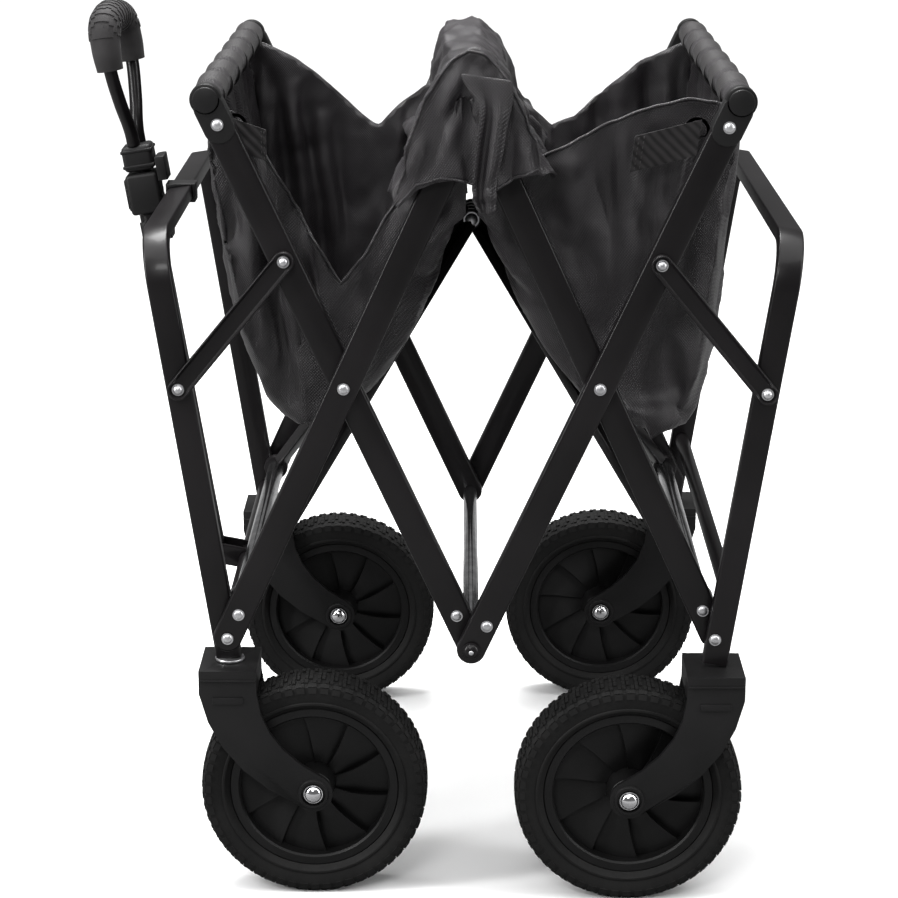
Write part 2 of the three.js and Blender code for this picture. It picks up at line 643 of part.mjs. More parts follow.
add("handle_outer_tube", inPlace(
  rodAlong(HANDLE_TUBE_R, onStem(tubeFoot), UP, tubeTop - tubeFoot)
    .subtract(rodAlong(HANDLE_BORE_R, onStem(tubeFoot + 2 * HANDLE_TUBE_R), UP, tubeTop))
    .subtract(rod(PIN_R + GAP, -2 * HANDLE_TUBE_R, 2 * HANDLE_TUBE_R, 0, 0)),
), BLACK_STEEL);

/** The moulded clamp round the outer tube's mouth. */
const clampHalf = CLAMP_WIDE / 2;
add("handle_clamp", inPlace(
  block([-clampHalf, -clampHalf, clampLow], [clampHalf, clampHalf, tubeTop])
    .subtract(rodAlong(HANDLE_TUBE_R + GAP, onStem(clampLow - 1), UP, CLAMP_LONG + 2)),
), BLACK_PLASTIC);

/** The lever of the clamp, which swings out round a pin that runs along the stem. */
const leverX = clampHalf + GAP;
const leverLow = tubeTop - LEVER_BELOW;
const leverPin = new THREE.Vector3(leverX + LEVER_THICK / 2, (LEVER_LONG - LEVER_THICK) / 2, leverLow);
add("clamp_lever", inPlace(unite(
  block([leverX, -LEVER_LONG / 2, leverLow], [leverX + LEVER_THICK, leverPin.y, leverLow + LEVER_HIGH]),
  rodAlong(LEVER_THICK / 2, leverPin, UP, LEVER_HIGH),
)), BLACK_PLASTIC);

/** The sliding half: a stem that is hollow from below, and the collar that holds the loop. */
const collarHalf = CLAMP_WIDE / 2 - 1;
const stem = rodAlong(STEM_R, onStem(stemLow), UP, collarLow - stemLow + GAP)
  .subtract(rodAlong(STEM_R - TUBE_WALL, onStem(stemLow - 1), UP, collarLow - stemLow - 2));
const collar = block([-collarHalf, -collarHalf, collarLow], [collarHalf, collarHalf, collarTop]);
add("handle_stem", inPlace(unite(stem, collar)), BLACK_PLASTIC);

/** The loop tube's line: up from the collar, out to the grip, over its top, and back. */
function loopLine() {
  const top = collarTop + LOOP_HIGH;
  const gripFoot = top - GRIP_LEG;
  const bend = LOOP_HALF * 0.8;
  const half = [
    [9, collarTop + GAP], [10, collarTop + 12], [LOOP_HALF * 0.72, (collarTop + gripFoot) / 2 + 6],
    [LOOP_HALF, gripFoot], [LOOP_HALF, top - bend], [LOOP_HALF * 0.78, top - bend * 0.28],
  ];
  const far = half.map(([y, z]) => new THREE.Vector3(0, y, z));
  const near = half.map(([y, z]) => new THREE.Vector3(0, -y, z)).reverse();
  return [...far, new THREE.Vector3(0, 0, top), ...near];
}

const loopCurve = new THREE.CatmullRomCurve3(loopLine(), false, "centripetal");
const twisted = (body) => inPlace(body.rotate([0, 0, THREE.MathUtils.radToDeg(HANDLE_TWIST)]));

/** A round section swept along part of the loop. */
function loopTube(r, sides, steps, from = 0, to = 1) {
  const section = new THREE.Shape();
  section.absarc(0, 0, r, 0, 2 * Math.PI, false);
  const points = [];
  for (let i = 0; i <= steps; i += 1) {
    points.push(loopCurve.getPointAt(from + ((to - from) * i) / steps));
  }
  const geometry = new THREE.ExtrudeGeometry(section, {
    extrudePath: new THREE.CatmullRomCurve3(points), steps, bevelEnabled: false,
    curveSegments: sides / 2, // a full circle gets two points for each
  });
  return solid(geometry);
}

const GRIP_FROM = 0.29;
const GRIP_TO = 1 - GRIP_FROM;
add("handle_loop", twisted(loopTube(LOOP_TUBE_R, 10, 40)), BLACK_STEEL);
add("handle_grip", twisted(
  loopTube(GRIP_R, 12, 20, GRIP_FROM, GRIP_TO)
    .subtract(loopTube(LOOP_TUBE_R + 2 * GAP, 10, 40)),
), GRIP_RUBBER);

// ---- the handle's yoke and its clip on the front crossbar -------------------------------------------

/** Two plates from the lower bar out to the handle's pin, with the pin between them. */
function yoke() {
  const [barX, barZ] = legAt(FRONT_BAR_UP);
  const inside = HANDLE_TUBE_R + GAP;
  const r = LOWER_BAR_R + 3;
  const outline = (grow) => {
    const shape = new THREE.Shape();
    shape.moveTo(barX, barZ - r - grow);
    shape.absarc(barX, barZ, r + grow, -Math.PI / 2, Math.PI / 2, false);
    shape.lineTo(handlePivot[0], handlePivot[1] + r + grow);
    shape.absarc(handlePivot[0], handlePivot[1], r + grow, Math.PI / 2, Math.PI * 1.5, false);
    shape.closePath();
    return shape;
  };
  const plate = slab(outline(0), inside, inside + YOKE_PLATE);
  const spacer = slab(outline(0), -inside, inside)
    .subtract(block([-2000, -inside - 1, -2000], [barX + LOWER_BAR_R * 0.2, inside + 1, 2000]));
  return unite(
    plate, mirrorY(plate), spacer,
    rod(PIN_R, -inside - YOKE_PLATE, inside + YOKE_PLATE, ...handlePivot),
  ).subtract(rod(LOWER_BAR_R + GAP, -2 * inside, 2 * inside, barX, barZ));
}
add("handle_yoke", yoke(), BLACK_STEEL);

/** A snap clip, open outwards, on an arm that hooks over the crossbar. */
function crossbarClip() {
  const [barX, barZ] = legAt(END_HEIGHT);
  const ringR = HANDLE_TUBE_R + 2 * GAP + CLIP_WALL;
  const top = barZ - TUBE_THICK / 2 - CLIP_DOWN - handlePivot[1];
  const ring = rodAlong(ringR, onStem(top - CLIP_HIGH), UP, CLIP_HIGH, 20)
    .subtract(rodAlong(HANDLE_TUBE_R + 2 * GAP, onStem(top - CLIP_HIGH - 1), UP, CLIP_HIGH + 2, 20))
    .subtract(block([-2 * ringR, -HANDLE_TUBE_R - 2 * GAP, top - 2 * CLIP_HIGH],
      [-HANDLE_TUBE_R * 0.3, HANDLE_TUBE_R + 2 * GAP, top + CLIP_HIGH]));
  const halfWide = 12;
  const wall = CLIP_WALL * 0.6;
  const barHalf = END_TUBE_WIDE / 2;
  const armZ = [top + handlePivot[1] - CLIP_HIGH, barZ + TUBE_THICK / 2 + wall];
  const ringX = handlePivot[0] - Math.tan(HANDLE_LEAN) * (top - CLIP_HIGH / 2);
  const hook = block([barX - barHalf - wall, -halfWide, armZ[0]], [barX + barHalf + wall, halfWide, armZ[1]])
    .subtract(block([barX - barHalf + wall, -halfWide - 1, armZ[0] - 1],
      [barX + barHalf + 2 * wall, halfWide + 1, barZ - TUBE_THICK / 2 - wall]));
  const bridge = block([ringX + HANDLE_TUBE_R + 2, -halfWide, armZ[0]],
    [barX - barHalf, halfWide, armZ[0] + CLIP_HIGH - 2]);
  return unite(inPlace(ring), bridge, hook)
    .subtract(inPlace(rodAlong(HANDLE_TUBE_R + 2 * GAP, onStem(0), UP, tubeTop, 20)));
}

/** The crossbar as a cutter, a running gap larger all round. */
const crossbarSpace = (() => {
  const [x, z] = legAt(END_HEIGHT);
  const [w, t] = [END_TUBE_WIDE / 2 + GAP, TUBE_THICK / 2 + GAP];
  return block([-w, -60, -t], [w, 60, t])
    .rotate([0, -THREE.MathUtils.radToDeg(END_LEAN), 0])
    .translate([x, 0, z]);
})();
add("crossbar_clip", crossbarClip().subtract(crossbarSpace), BLACK_PLASTIC);

// ---- basket -----------------------------------------------------------------------------------------

/**
 * One half of the folded basket: end panel, floor and two side walls of cloth, open along the
 * sagging hem above and towards the other half. Front half; the rear one is its mirror image.
 */
function basketHalf() {
  const wallY = INNER_FACE - BASKET_INSET;
  const railPoint = [rail[0] + 3, rail[1] - RAIL_R - 3];
  const tip = [crossTube[0] + 51, crossTube[1] + 117];
  const ridge = [-6, hub[1] + HUB_EYE_R + 9];
  const hemTop = [-8, topCentre[1] - PEAK_SKIRT - 5];
  const sag = [scissor[0] * 1.04, scissor[1] + 88];
  const outer = slab(polygon([railPoint, tip, ridge, hemTop, sag]), -wallY, wallY);
  const inward = (from, to) => {
    const [dx, dz] = [to[0] - from[0], to[1] - from[1]];
    const long = Math.hypot(dx, dz);
    return [(-dz / long) * CLOTH, (dx / long) * CLOTH];
  };
  const panel = inward(railPoint, tip);
  const floor = inward(tip, ridge);
  const sum = (p, ...rest) => rest.reduce((a, b) => [a[0] + b[0], a[1] + b[1]], p);
  const reach = (from, to, k) => [from[0] + (to[0] - from[0]) * k, from[1] + (to[1] - from[1]) * k];
  const inner = slab(polygon([
    sum(reach(tip, railPoint, 1.2), panel), sum(tip, panel, floor),
    sum(reach(tip, ridge, 1.2), floor), [60, topCentre[1] + 200],
    sum(reach(tip, railPoint, 1.2), panel, [0, 200]),
  ]), -wallY + CLOTH, wallY - CLOTH);
  return outer.subtract(inner);
}
add("basket_front", basketHalf(), CLOTH_BLACK);
add("basket_rear", mirrorX(basketHalf()), CLOTH_BLACK);

/** The ridge of cloth over the top centre, which hides both peak bolts. */
function basketPeak() {
  const half = outerLayer[1] + PEAK_OVER;
  const [x, z] = topCentre;
  const profile = (grow) => {
    const shape = new THREE.Shape();
    const w = PEAK_HALF - CLOTH + grow;
    const r = w * 0.62;
    const top = z + PEAK_RISE + grow;
    shape.moveTo(x - w, z - PEAK_SKIRT - (grow ? 0 : 1));
    shape.lineTo(x + w, z - PEAK_SKIRT - (grow ? 0 : 1));
    shape.lineTo(x + r, z);
    shape.quadraticCurveTo(x + r * 0.9, top, x, top);
    shape.quadraticCurveTo(x - r * 0.9, top, x - r, z);
    shape.closePath();
    return shape;
  };
  return slab(profile(CLOTH), -half, half, 6).subtract(slab(profile(0), -half - 1, half + 1, 6));
}
add("basket_peak", basketPeak(), CLOTH_BLACK);

const strapY = outerLayer[1] + PEAK_OVER + GAP;
add("pull_strap", block(
  [-STRAP_WIDE * 0.2, -strapY - CLOTH, topCentre[1] - STRAP_LONG],
  [STRAP_WIDE * 0.8, -strapY, topCentre[1] + PEAK_RISE * 0.5],
), CLOTH_BLACK);

// ---- origin under the middle of the wagon, on the ground -----------------------------------------------

const box = new THREE.Box3().setFromObject(wagon);
const centre = box.getCenter(new THREE.Vector3());
wagon.position.set(-centre.x, -centre.y, -box.min.z);

export default wagon;
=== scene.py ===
import bpy, bmesh, json, math
from mathutils import Matrix, Vector, noise


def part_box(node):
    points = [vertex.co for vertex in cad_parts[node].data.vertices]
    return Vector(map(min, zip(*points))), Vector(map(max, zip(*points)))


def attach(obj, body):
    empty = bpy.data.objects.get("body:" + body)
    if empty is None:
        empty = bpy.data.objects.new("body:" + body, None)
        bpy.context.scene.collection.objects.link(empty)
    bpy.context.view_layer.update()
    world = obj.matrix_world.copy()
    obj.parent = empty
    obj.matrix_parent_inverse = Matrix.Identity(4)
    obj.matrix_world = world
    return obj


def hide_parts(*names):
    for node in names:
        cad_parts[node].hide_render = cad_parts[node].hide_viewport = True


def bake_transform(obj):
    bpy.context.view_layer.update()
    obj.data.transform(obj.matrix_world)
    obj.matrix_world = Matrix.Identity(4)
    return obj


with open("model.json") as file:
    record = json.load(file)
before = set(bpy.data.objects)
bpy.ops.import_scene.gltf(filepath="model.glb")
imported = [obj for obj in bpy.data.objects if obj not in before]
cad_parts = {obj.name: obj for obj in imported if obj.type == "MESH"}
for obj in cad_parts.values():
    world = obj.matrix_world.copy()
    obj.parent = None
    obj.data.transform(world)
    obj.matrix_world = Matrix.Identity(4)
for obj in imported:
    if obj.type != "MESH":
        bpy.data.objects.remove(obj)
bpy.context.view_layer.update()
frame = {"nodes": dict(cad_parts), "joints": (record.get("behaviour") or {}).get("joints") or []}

ENDS = ("front", "rear")
SIDES = (("near", -1), ("far", 1))

# The wagon stands on a pale floor. The camera is in front of the near side, above the wagon's top, and
# looks down a little. Soft lamps stand above, to the left, to the right and in front. The keel's middle
# is the point that the wagon is set out from, and at() takes millimetres from it.
keel_low, keel_high = (Vector(c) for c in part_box("keel_tube"))
KEEL = (keel_low + keel_high) / 2


def at(x, y, z):
    return KEEL + Vector((x, y, z)) / 1000


camera = bpy.data.objects.new("camera", bpy.data.cameras.new("camera"))
camera.location = at(-6.5, -2309.6, 771.5)
camera.rotation_euler = (math.radians(74.03), 0, math.radians(0.352))
camera.data.lens = 101.4
camera.data.sensor_width = 36
camera.data.clip_end = 60
bpy.context.scene.collection.objects.link(camera)
bpy.context.scene.camera = camera

floor_mesh = bmesh.new()
bmesh.ops.create_grid(floor_mesh, x_segments=1, y_segments=1, size=20)
floor = bpy.data.objects.new("floor", bpy.data.meshes.new("floor"))
floor_mesh.to_mesh(floor.data)
bpy.context.scene.collection.objects.link(floor)


def camera_sees(tree, seen, otherwise, output):
    """The camera sees one shader, and every other ray meets the other."""
    path = tree.nodes.new("ShaderNodeLightPath")
    choice = tree.nodes.new("ShaderNodeMixShader")
    tree.links.new(path.outputs["Is Camera Ray"], choice.inputs["Fac"])
    tree.links.new(otherwise, choice.inputs[1])
    tree.links.new(seen, choice.inputs[2])
    tree.links.new(choice.outputs["Shader"], tree.nodes[output].inputs["Surface"])


floor_finish = bpy.data.materials.new("pale_floor")
floor_finish.use_nodes = True
floor_nodes = floor_finish.node_tree.nodes
floor_shader = floor_nodes["Principled BSDF"]
floor_shader.inputs["Base Color"].default_value = (0.94, 0.94, 0.94, 1)
floor_shader.inputs["Roughness"].default_value = 0.7
floor_shader.inputs["Specular IOR Level"].default_value = 0.1
bounce = floor_nodes.new("ShaderNodeBsdfDiffuse")
bounce.inputs["Color"].default_value = (0.22, 0.22, 0.22, 1)
camera_sees(floor_finish.node_tree, floor_shader.outputs["BSDF"], bounce.outputs["BSDF"], "Material Output")
floor.data.materials.append(floor_finish)

world = bpy.data.worlds.new("studio")
world.use_nodes = True
room = world.node_tree.nodes["Background"]
room.inputs["Color"].default_value = (1, 1, 1, 1)
room.inputs["Strength"].default_value = 0.16
backdrop = world.node_tree.nodes.new("ShaderNodeBackground")
backdrop.inputs["Color"].default_value = (1, 1, 1, 1)
backdrop.inputs["Strength"].default_value = 1.0
camera_sees(world.node_tree, backdrop.outputs["Background"], room.outputs["Background"], "World Output")
bpy.context.scene.world = world
bpy.context.scene.view_settings.view_transform = "Standard"


def softbox(name, place, aim, size, power):
    lamp = bpy.data.lights.new(name, "AREA")
    lamp.shape = "RECTANGLE"
    lamp.size, lamp.size_y = size
    lamp.energy = power
    holder = bpy.data.objects.new(name, lamp)
    holder.location = place
    holder.rotation_euler = (Vector(aim) - Vector(place)).to_track_quat("-Z", "Y").to_euler()
    bpy.context.scene.collection.objects.link(holder)


softbox("light_top", (-0.3, 0.5, 2.4), (0, 0, 0.3), (1.3, 0.8), 74)
softbox("light_left", (-2.3, -1.1, 1.6), (0, 0, 0.35), (0.35, 2.2), 62)
softbox("light_right", (2.3, -0.9, 1.4), (0, 0, 0.35), (0.30, 2.2), 32)
softbox("light_front", (-0.5, -2.6, 2.2), (0, 0, 0.35), (0.9, 0.5), 24)
even = bpy.data.lights.new("light_even", "SUN")
even.energy = 3.3
even.angle = math.radians(80)
even_holder = bpy.data.objects.new("light_even", even)
even_holder.location = (0, 0, 4)
bpy.context.scene.collection.objects.link(even_holder)


# The long arms are flat steel tubes with satin black powder coat. Their round ends are pressed shut
# round the rivets. The front rail arms and rear wheel arms run inside the other four.
# Each side has two layers, given by their inner and outer faces from the middle plane.
pivot = {j["name"]: Vector(j["pos_m"]) for j in frame["joints"] if "pos_m" in j}
TUBE_WIDE = 0.025
INNER_LAYER, OUTER_LAYER = (0.225, 0.237), (0.238, 0.250)
RAIL_ARM_LAYER = {"front": INNER_LAYER, "rear": OUTER_LAYER}
WHEEL_ARM_LAYER = {"front": OUTER_LAYER, "rear": INNER_LAYER}
END_MIDDLE = {"front": 0.231, "rear": 0.244}


def noise_layer(nodes, links, scale, detail, vector):
    texture = nodes.new("ShaderNodeTexNoise")
    texture.inputs["Scale"].default_value = scale
    texture.inputs["Detail"].default_value = detail
    links.new(vector, texture.inputs["Vector"])
    return texture.outputs["Fac"]


def add_share(nodes, links, value, share, base):
    """value times share, plus base."""
    total = nodes.new("ShaderNodeMath")
    total.operation = "MULTIPLY_ADD"
    total.inputs[1].default_value = share
    links.new(value, total.inputs[0])
    links.new(base, total.inputs[2])
    return total.outputs["Value"]


def ramp_between(nodes, links, value, low, high, places=(0.3, 0.7)):
    ramp = nodes.new("ShaderNodeValToRGB")
    ramp.color_ramp.elements[0].position, ramp.color_ramp.elements[1].position = places
    ramp.color_ramp.elements[0].color = (*low, 1)
    ramp.color_ramp.elements[1].color = (*high, 1)
    links.new(value, ramp.inputs["Fac"])
    return ramp.outputs["Color"]


def spread(nodes, links, value, low, high):
    ranged = nodes.new("ShaderNodeMapRange")
    ranged.inputs["To Min"].default_value = low
    ranged.inputs["To Max"].default_value = high
    links.new(value, ranged.inputs["Value"])
    return ranged.outputs["Result"]


def raise_surface(nodes, links, shader, height, distance, strength=1.0):
    bump = nodes.new("ShaderNodeBump")
    bump.inputs["Distance"].default_value = distance
    bump.inputs["Strength"].default_value = strength
    links.new(height, bump.inputs["Height"])
    links.new(bump.outputs["Normal"], shader.inputs["Normal"])


def start_finish(name, metallic=0.0, coat=0.0, sheen=0.0, specular=0.5):
    finish = bpy.data.materials.new(name)
    finish.use_nodes = True
    nodes, links = finish.node_tree.nodes, finish.node_tree.links
    shader = nodes["Principled BSDF"]
    shader.inputs["Metallic"].default_value = metallic
    shader.inputs["Coat Weight"].default_value = coat
    shader.inputs["Sheen Weight"].default_value = sheen
    shader.inputs["Specular IOR Level"].default_value = specular
    place = nodes.new("ShaderNodeTexCoord").outputs["Object"]
    return finish, nodes, links, shader, place


def powder_coat(name, low, high, rough):
    finish, nodes, links, shader, place = start_finish(name, coat=0.10, specular=0.22)
    shader.inputs["Coat Roughness"].default_value = 0.12
    broad = noise_layer(nodes, links, 9, 3, place)
    fine = noise_layer(nodes, links, 900, 2, place)
    links.new(ramp_between(nodes, links, broad, low, high), shader.inputs["Base Color"])
    links.new(spread(nodes, links, broad, rough - 0.05, rough + 0.07), shader.inputs["Roughness"])
    raise_surface(nodes, links, shader, fine, 0.00008, 0.5)
    return finish


BLACK_STEEL = powder_coat("black_powder_coat", (0.0036, 0.0031, 0.0034), (0.0090, 0.0078, 0.0086), 0.34)


def finish_piece(name, mesh, material, body, stands_for=(), smooth_below=35):
    bmesh.ops.remove_doubles(mesh, verts=mesh.verts, dist=1e-6)
    bmesh.ops.recalc_face_normals(mesh, faces=mesh.faces)
    piece = bpy.data.objects.new(name, bpy.data.meshes.new(name))
    mesh.to_mesh(piece.data)
    mesh.free()
    piece.data.polygons.foreach_set("use_smooth", [True] * len(piece.data.polygons))
    piece.data.set_sharp_from_angle(angle=math.radians(smooth_below))
    piece.data.materials.append(material)
    bpy.context.scene.collection.objects.link(piece)
    if body:
        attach(piece, body)
    if stands_for:
        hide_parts(*stands_for)
    return piece


def verts_in(geom):
    return [g for g in geom if isinstance(g, bmesh.types.BMVert)]


def faces_in(geom):
    return [g for g in geom if isinstance(g, bmesh.types.BMFace)]


def stadium(mesh, start, end, half, y0, y1, bevel=0.0012, channel=0.0, sides=32):
    """A flat bar with round ends from start to end in a lengthwise plane, from y0 to y1 across."""
    made = bmesh.ops.create_circle(mesh, cap_ends=True, segments=sides, radius=half)["verts"]
    bmesh.ops.rotate(mesh, verts=made, matrix=Matrix.Rotation(math.pi / sides, 3, "Z"))
    run = math.hypot(end[0] - start[0], end[1] - start[1])
    bmesh.ops.translate(mesh, verts=[v for v in made if v.co.y > 0], vec=(0, run, 0))
    bmesh.ops.rotate(mesh, verts=made, matrix=Matrix.Rotation(math.pi / 2, 3, "X"))
    lean = math.atan2(end[0] - start[0], end[1] - start[1])
    bmesh.ops.rotate(mesh, verts=made, matrix=Matrix.Rotation(lean, 3, "Y"))
    bmesh.ops.translate(mesh, verts=made, vec=(start[0], y0, start[1]))
    base = list({f for v in made for f in v.link_faces})
    grown = bmesh.ops.extrude_face_region(mesh, geom=base)["geom"]
    top = verts_in(grown)
    bmesh.ops.translate(mesh, verts=top, vec=(0, y1 - y0, 0))
    faces = base + faces_in(grown)
    rims = list({e for f in faces for e in f.edges})
    bmesh.ops.bevel(mesh, geom=rims, offset=bevel, segments=3, profile=0.5, affect="EDGES", material=-1)
    if channel:
        outer = max(mesh.faces, key=lambda f: abs(f.calc_center_median().y))
        bmesh.ops.inset_region(mesh, faces=[outer], thickness=0.0022)
        bmesh.ops.translate(mesh, verts=outer.verts, vec=(0, -channel * math.copysign(1, y1 + y0), 0))
        bmesh.ops.inset_region(mesh, faces=[outer], thickness=0.0012)


def side_on(point):
    """A pivot as (x, z), in metres, in the lengthwise plane."""
    return (point.x, point.z)


scissor = {"front": side_on(pivot["front_scissor"]), "rear": side_on(pivot["rear_scissor"])}
corner = {"front": side_on(pivot["front_end_swing"]), "rear": side_on(pivot["rear_end_swing"])}
top_centre = side_on(pivot["peak_level"])
keel_line = (KEEL.x, KEEL.z)
rail = {}
for end in ENDS:
    low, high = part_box(f"{end}_top_rail")
    rail[end] = ((low[0] + high[0]) / 2, (low[2] + high[2]) / 2)


def between(a, b, share):
    return (a[0] + (b[0] - a[0]) * share, a[1] + (b[1] - a[1]) * share)


for end in ENDS:
    for side, out in SIDES:
        for kind, start, stop, layer in (
            ("rail", keel_line, between(keel_line, rail[end], 0.962), RAIL_ARM_LAYER[end]),
            ("wheel", corner[end], top_centre, WHEEL_ARM_LAYER[end]),
        ):
            node = f"{end}_{kind}_arm_{side}"
            body = f"{end}_{kind}_arms"
            y0, y1 = sorted(out * face for face in layer)
            mesh = bmesh.new()
            stadium(mesh, start, stop, TUBE_WIDE / 2, y0, y1, bevel=0.0022)
            finish_piece(f"{node}_tube", mesh, BLACK_STEEL, body, (node,))


# Zinc-plated pan rivets and washers hold the arms together, proud of the tubes on both sides.
# Each group rides with the arms that carry it.
def bright_metal(name, low, high, rough):
    finish, nodes, links, shader, place = start_finish(name, metallic=1.0)
    broad = noise_layer(nodes, links, 60, 4, place)
    fine = noise_layer(nodes, links, 1920, 3, place)
    links.new(ramp_between(nodes, links, broad, low, high), shader.inputs["Base Color"])
    links.new(spread(nodes, links, fine, rough - 0.06, rough + 0.08), shader.inputs["Roughness"])
    raise_surface(nodes, links, shader, fine, 0.00004, 0.4)
    return finish


ZINC = bright_metal("zinc_plate", (0.50, 0.50, 0.52), (0.74, 0.74, 0.75), 0.40)
TUBE_ZINC = bright_metal("drawn_zinc_tube", (0.60, 0.60, 0.62), (0.88, 0.88, 0.89), 0.16)
CHROME = bright_metal("domed_chrome", (0.66, 0.66, 0.68), (0.86, 0.86, 0.87), 0.12)


def dome(mesh, place, radius, height, outward, lip=0.0):
    """A round head with its flat side at place, facing outwards along Y, on a washer of radius + lip."""
    ball = bmesh.ops.create_uvsphere(mesh, u_segments=24, v_segments=12, radius=radius)["verts"]
    whole = list({g for v in ball for g in [v, *v.link_edges, *v.link_faces]})
    cut = bmesh.ops.bisect_plane(mesh, geom=whole,
                                 plane_co=(0, 0, 0.0001), plane_no=(0, 0, 1), clear_inner=True)
    kept = list({v for g in cut["geom"] if g.is_valid for v in (g.verts if hasattr(g, "verts") else [g])})
    bmesh.ops.contextual_create(mesh, geom=[e for e in cut["geom_cut"] if isinstance(e, bmesh.types.BMEdge)])
    bmesh.ops.scale(mesh, verts=kept, vec=(1, 1, height / radius))
    if lip:
        disc = bmesh.ops.create_cone(mesh, cap_ends=True, segments=24, radius1=radius + lip,
                                     radius2=radius + lip * 0.7, depth=0.0008)["verts"]
        bmesh.ops.translate(mesh, verts=disc, vec=(0, 0, 0.0004))
        kept += disc
    bmesh.ops.rotate(mesh, verts=kept, matrix=Matrix.Rotation(-outward * math.pi / 2, 3, "X"))
    bmesh.ops.translate(mesh, verts=kept, vec=place)


def rivets(name, body, heads, stands_for=(), material=None, radius=0.0044, height=0.0024, lip=0.0009):
    """heads: (x, z) and the distance from the middle plane, put on both sides."""
    mesh = bmesh.new()
    for (x, z), far in heads:
        for out in (-1, 1):
            dome(mesh, (x, out * far, z), radius, height, out, lip)
    return finish_piece(name, mesh, material or ZINC, body, stands_for)


cross_tube = {}
for end in ENDS:
    low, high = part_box(f"{end}_cross_tube")
    cross_tube[end] = ((low[0] + high[0]) / 2, (low[2] + high[2]) / 2)
strut_top = {end: side_on(pivot[f"{end}_strut_near_pivot"]) for end in ENDS}

rivets("rivets_front_wheel_arms", "front_wheel_arms",
       [(corner["front"], 0.2508), (scissor["front"], 0.2508), (cross_tube["front"], 0.2502)])
RAIL_RIVET_UP = 0.957
near_keel = {"front": (KEEL.x - 0.0125, KEEL.z + 0.0275), "rear": (KEEL.x + 0.0135, KEEL.z + 0.0225)}
rivets("rivets_rear_rail_arms", "rear_rail_arms",
       [(scissor["rear"], 0.2508), (near_keel["rear"], 0.2502),
        (between(keel_line, rail["rear"], RAIL_RIVET_UP), 0.2507)])
rivets("rivets_front_rail_arms", "front_rail_arms",
       [(near_keel["front"], 0.2372), (between(keel_line, rail["front"], RAIL_RIVET_UP), 0.2377)])
rivets("rivets_rear_wheel_arms", "rear_wheel_arms", [(corner["rear"], 0.2508), (cross_tube["rear"], 0.2372)])
rivets("keel_bolts", "keel", [(keel_line, 0.2515)], material=BLACK_STEEL, radius=0.0072, height=0.0044)
rivets("keel_bolt_tips", "keel", [(keel_line, 0.2545)], radius=0.0026, height=0.0020, lip=0)

# Three tubes run across at the bottom: the keel and, above the corners, the two cross tubes.
# They are bare galvanised steel and show their brighter skin between the black arms.
def rod(mesh, radius, long, sides, bevel):
    """An upright round bar about the origin, with its two ends eased. Returns its vertices."""
    made = bmesh.ops.create_cone(mesh, cap_ends=True, segments=sides, radius1=radius, radius2=radius,
                                 depth=long)["verts"]
    rims = [e for e in {e for v in made for e in v.link_edges}
            if abs(e.verts[0].co.z - e.verts[1].co.z) < 1e-6]
    done = bmesh.ops.bevel(mesh, geom=rims, offset=bevel, segments=2, profile=0.5, affect="EDGES",
                           material=-1)
    return list({v for v in made if v.is_valid} | set(done["verts"]))


def round_bar(mesh, x, z, radius, y0, y1, sides=32, bevel=0.0008):
    """A round bar across the wagon from y0 to y1."""
    verts = rod(mesh, radius, y1 - y0, sides, bevel)
    bmesh.ops.rotate(mesh, verts=verts, matrix=Matrix.Rotation(math.pi / 2, 3, "X"))
    bmesh.ops.translate(mesh, verts=verts, vec=(x, (y0 + y1) / 2, z))


for name, (x, z), radius, body in (
    ("keel_tube", keel_line, 0.007, "keel"),
    ("front_cross_tube", cross_tube["front"], 0.008, "front_wheel_arms"),
    ("rear_cross_tube", cross_tube["rear"], 0.008, "rear_wheel_arms"),
):
    mesh = bmesh.new()
    round_bar(mesh, x, z, radius, -0.2247, 0.2247)
    finish_piece(f"{name}_skin", mesh, TUBE_ZINC, body, (name,))


# The inverted U frames at the two ends are bent from flat tube, with a round bar welded across low
# down. Rectangular section, small corner radius, wide sweeping bends at the top.
END_LEAN = math.radians(8.6)
END_BEND = 0.042
END_RISE = 0.370
FOOT_DROP = 0.023
FOOT_INSET = 0.004
WELDED_BAR_UP = {"front": -0.006, "rear": 0.042}


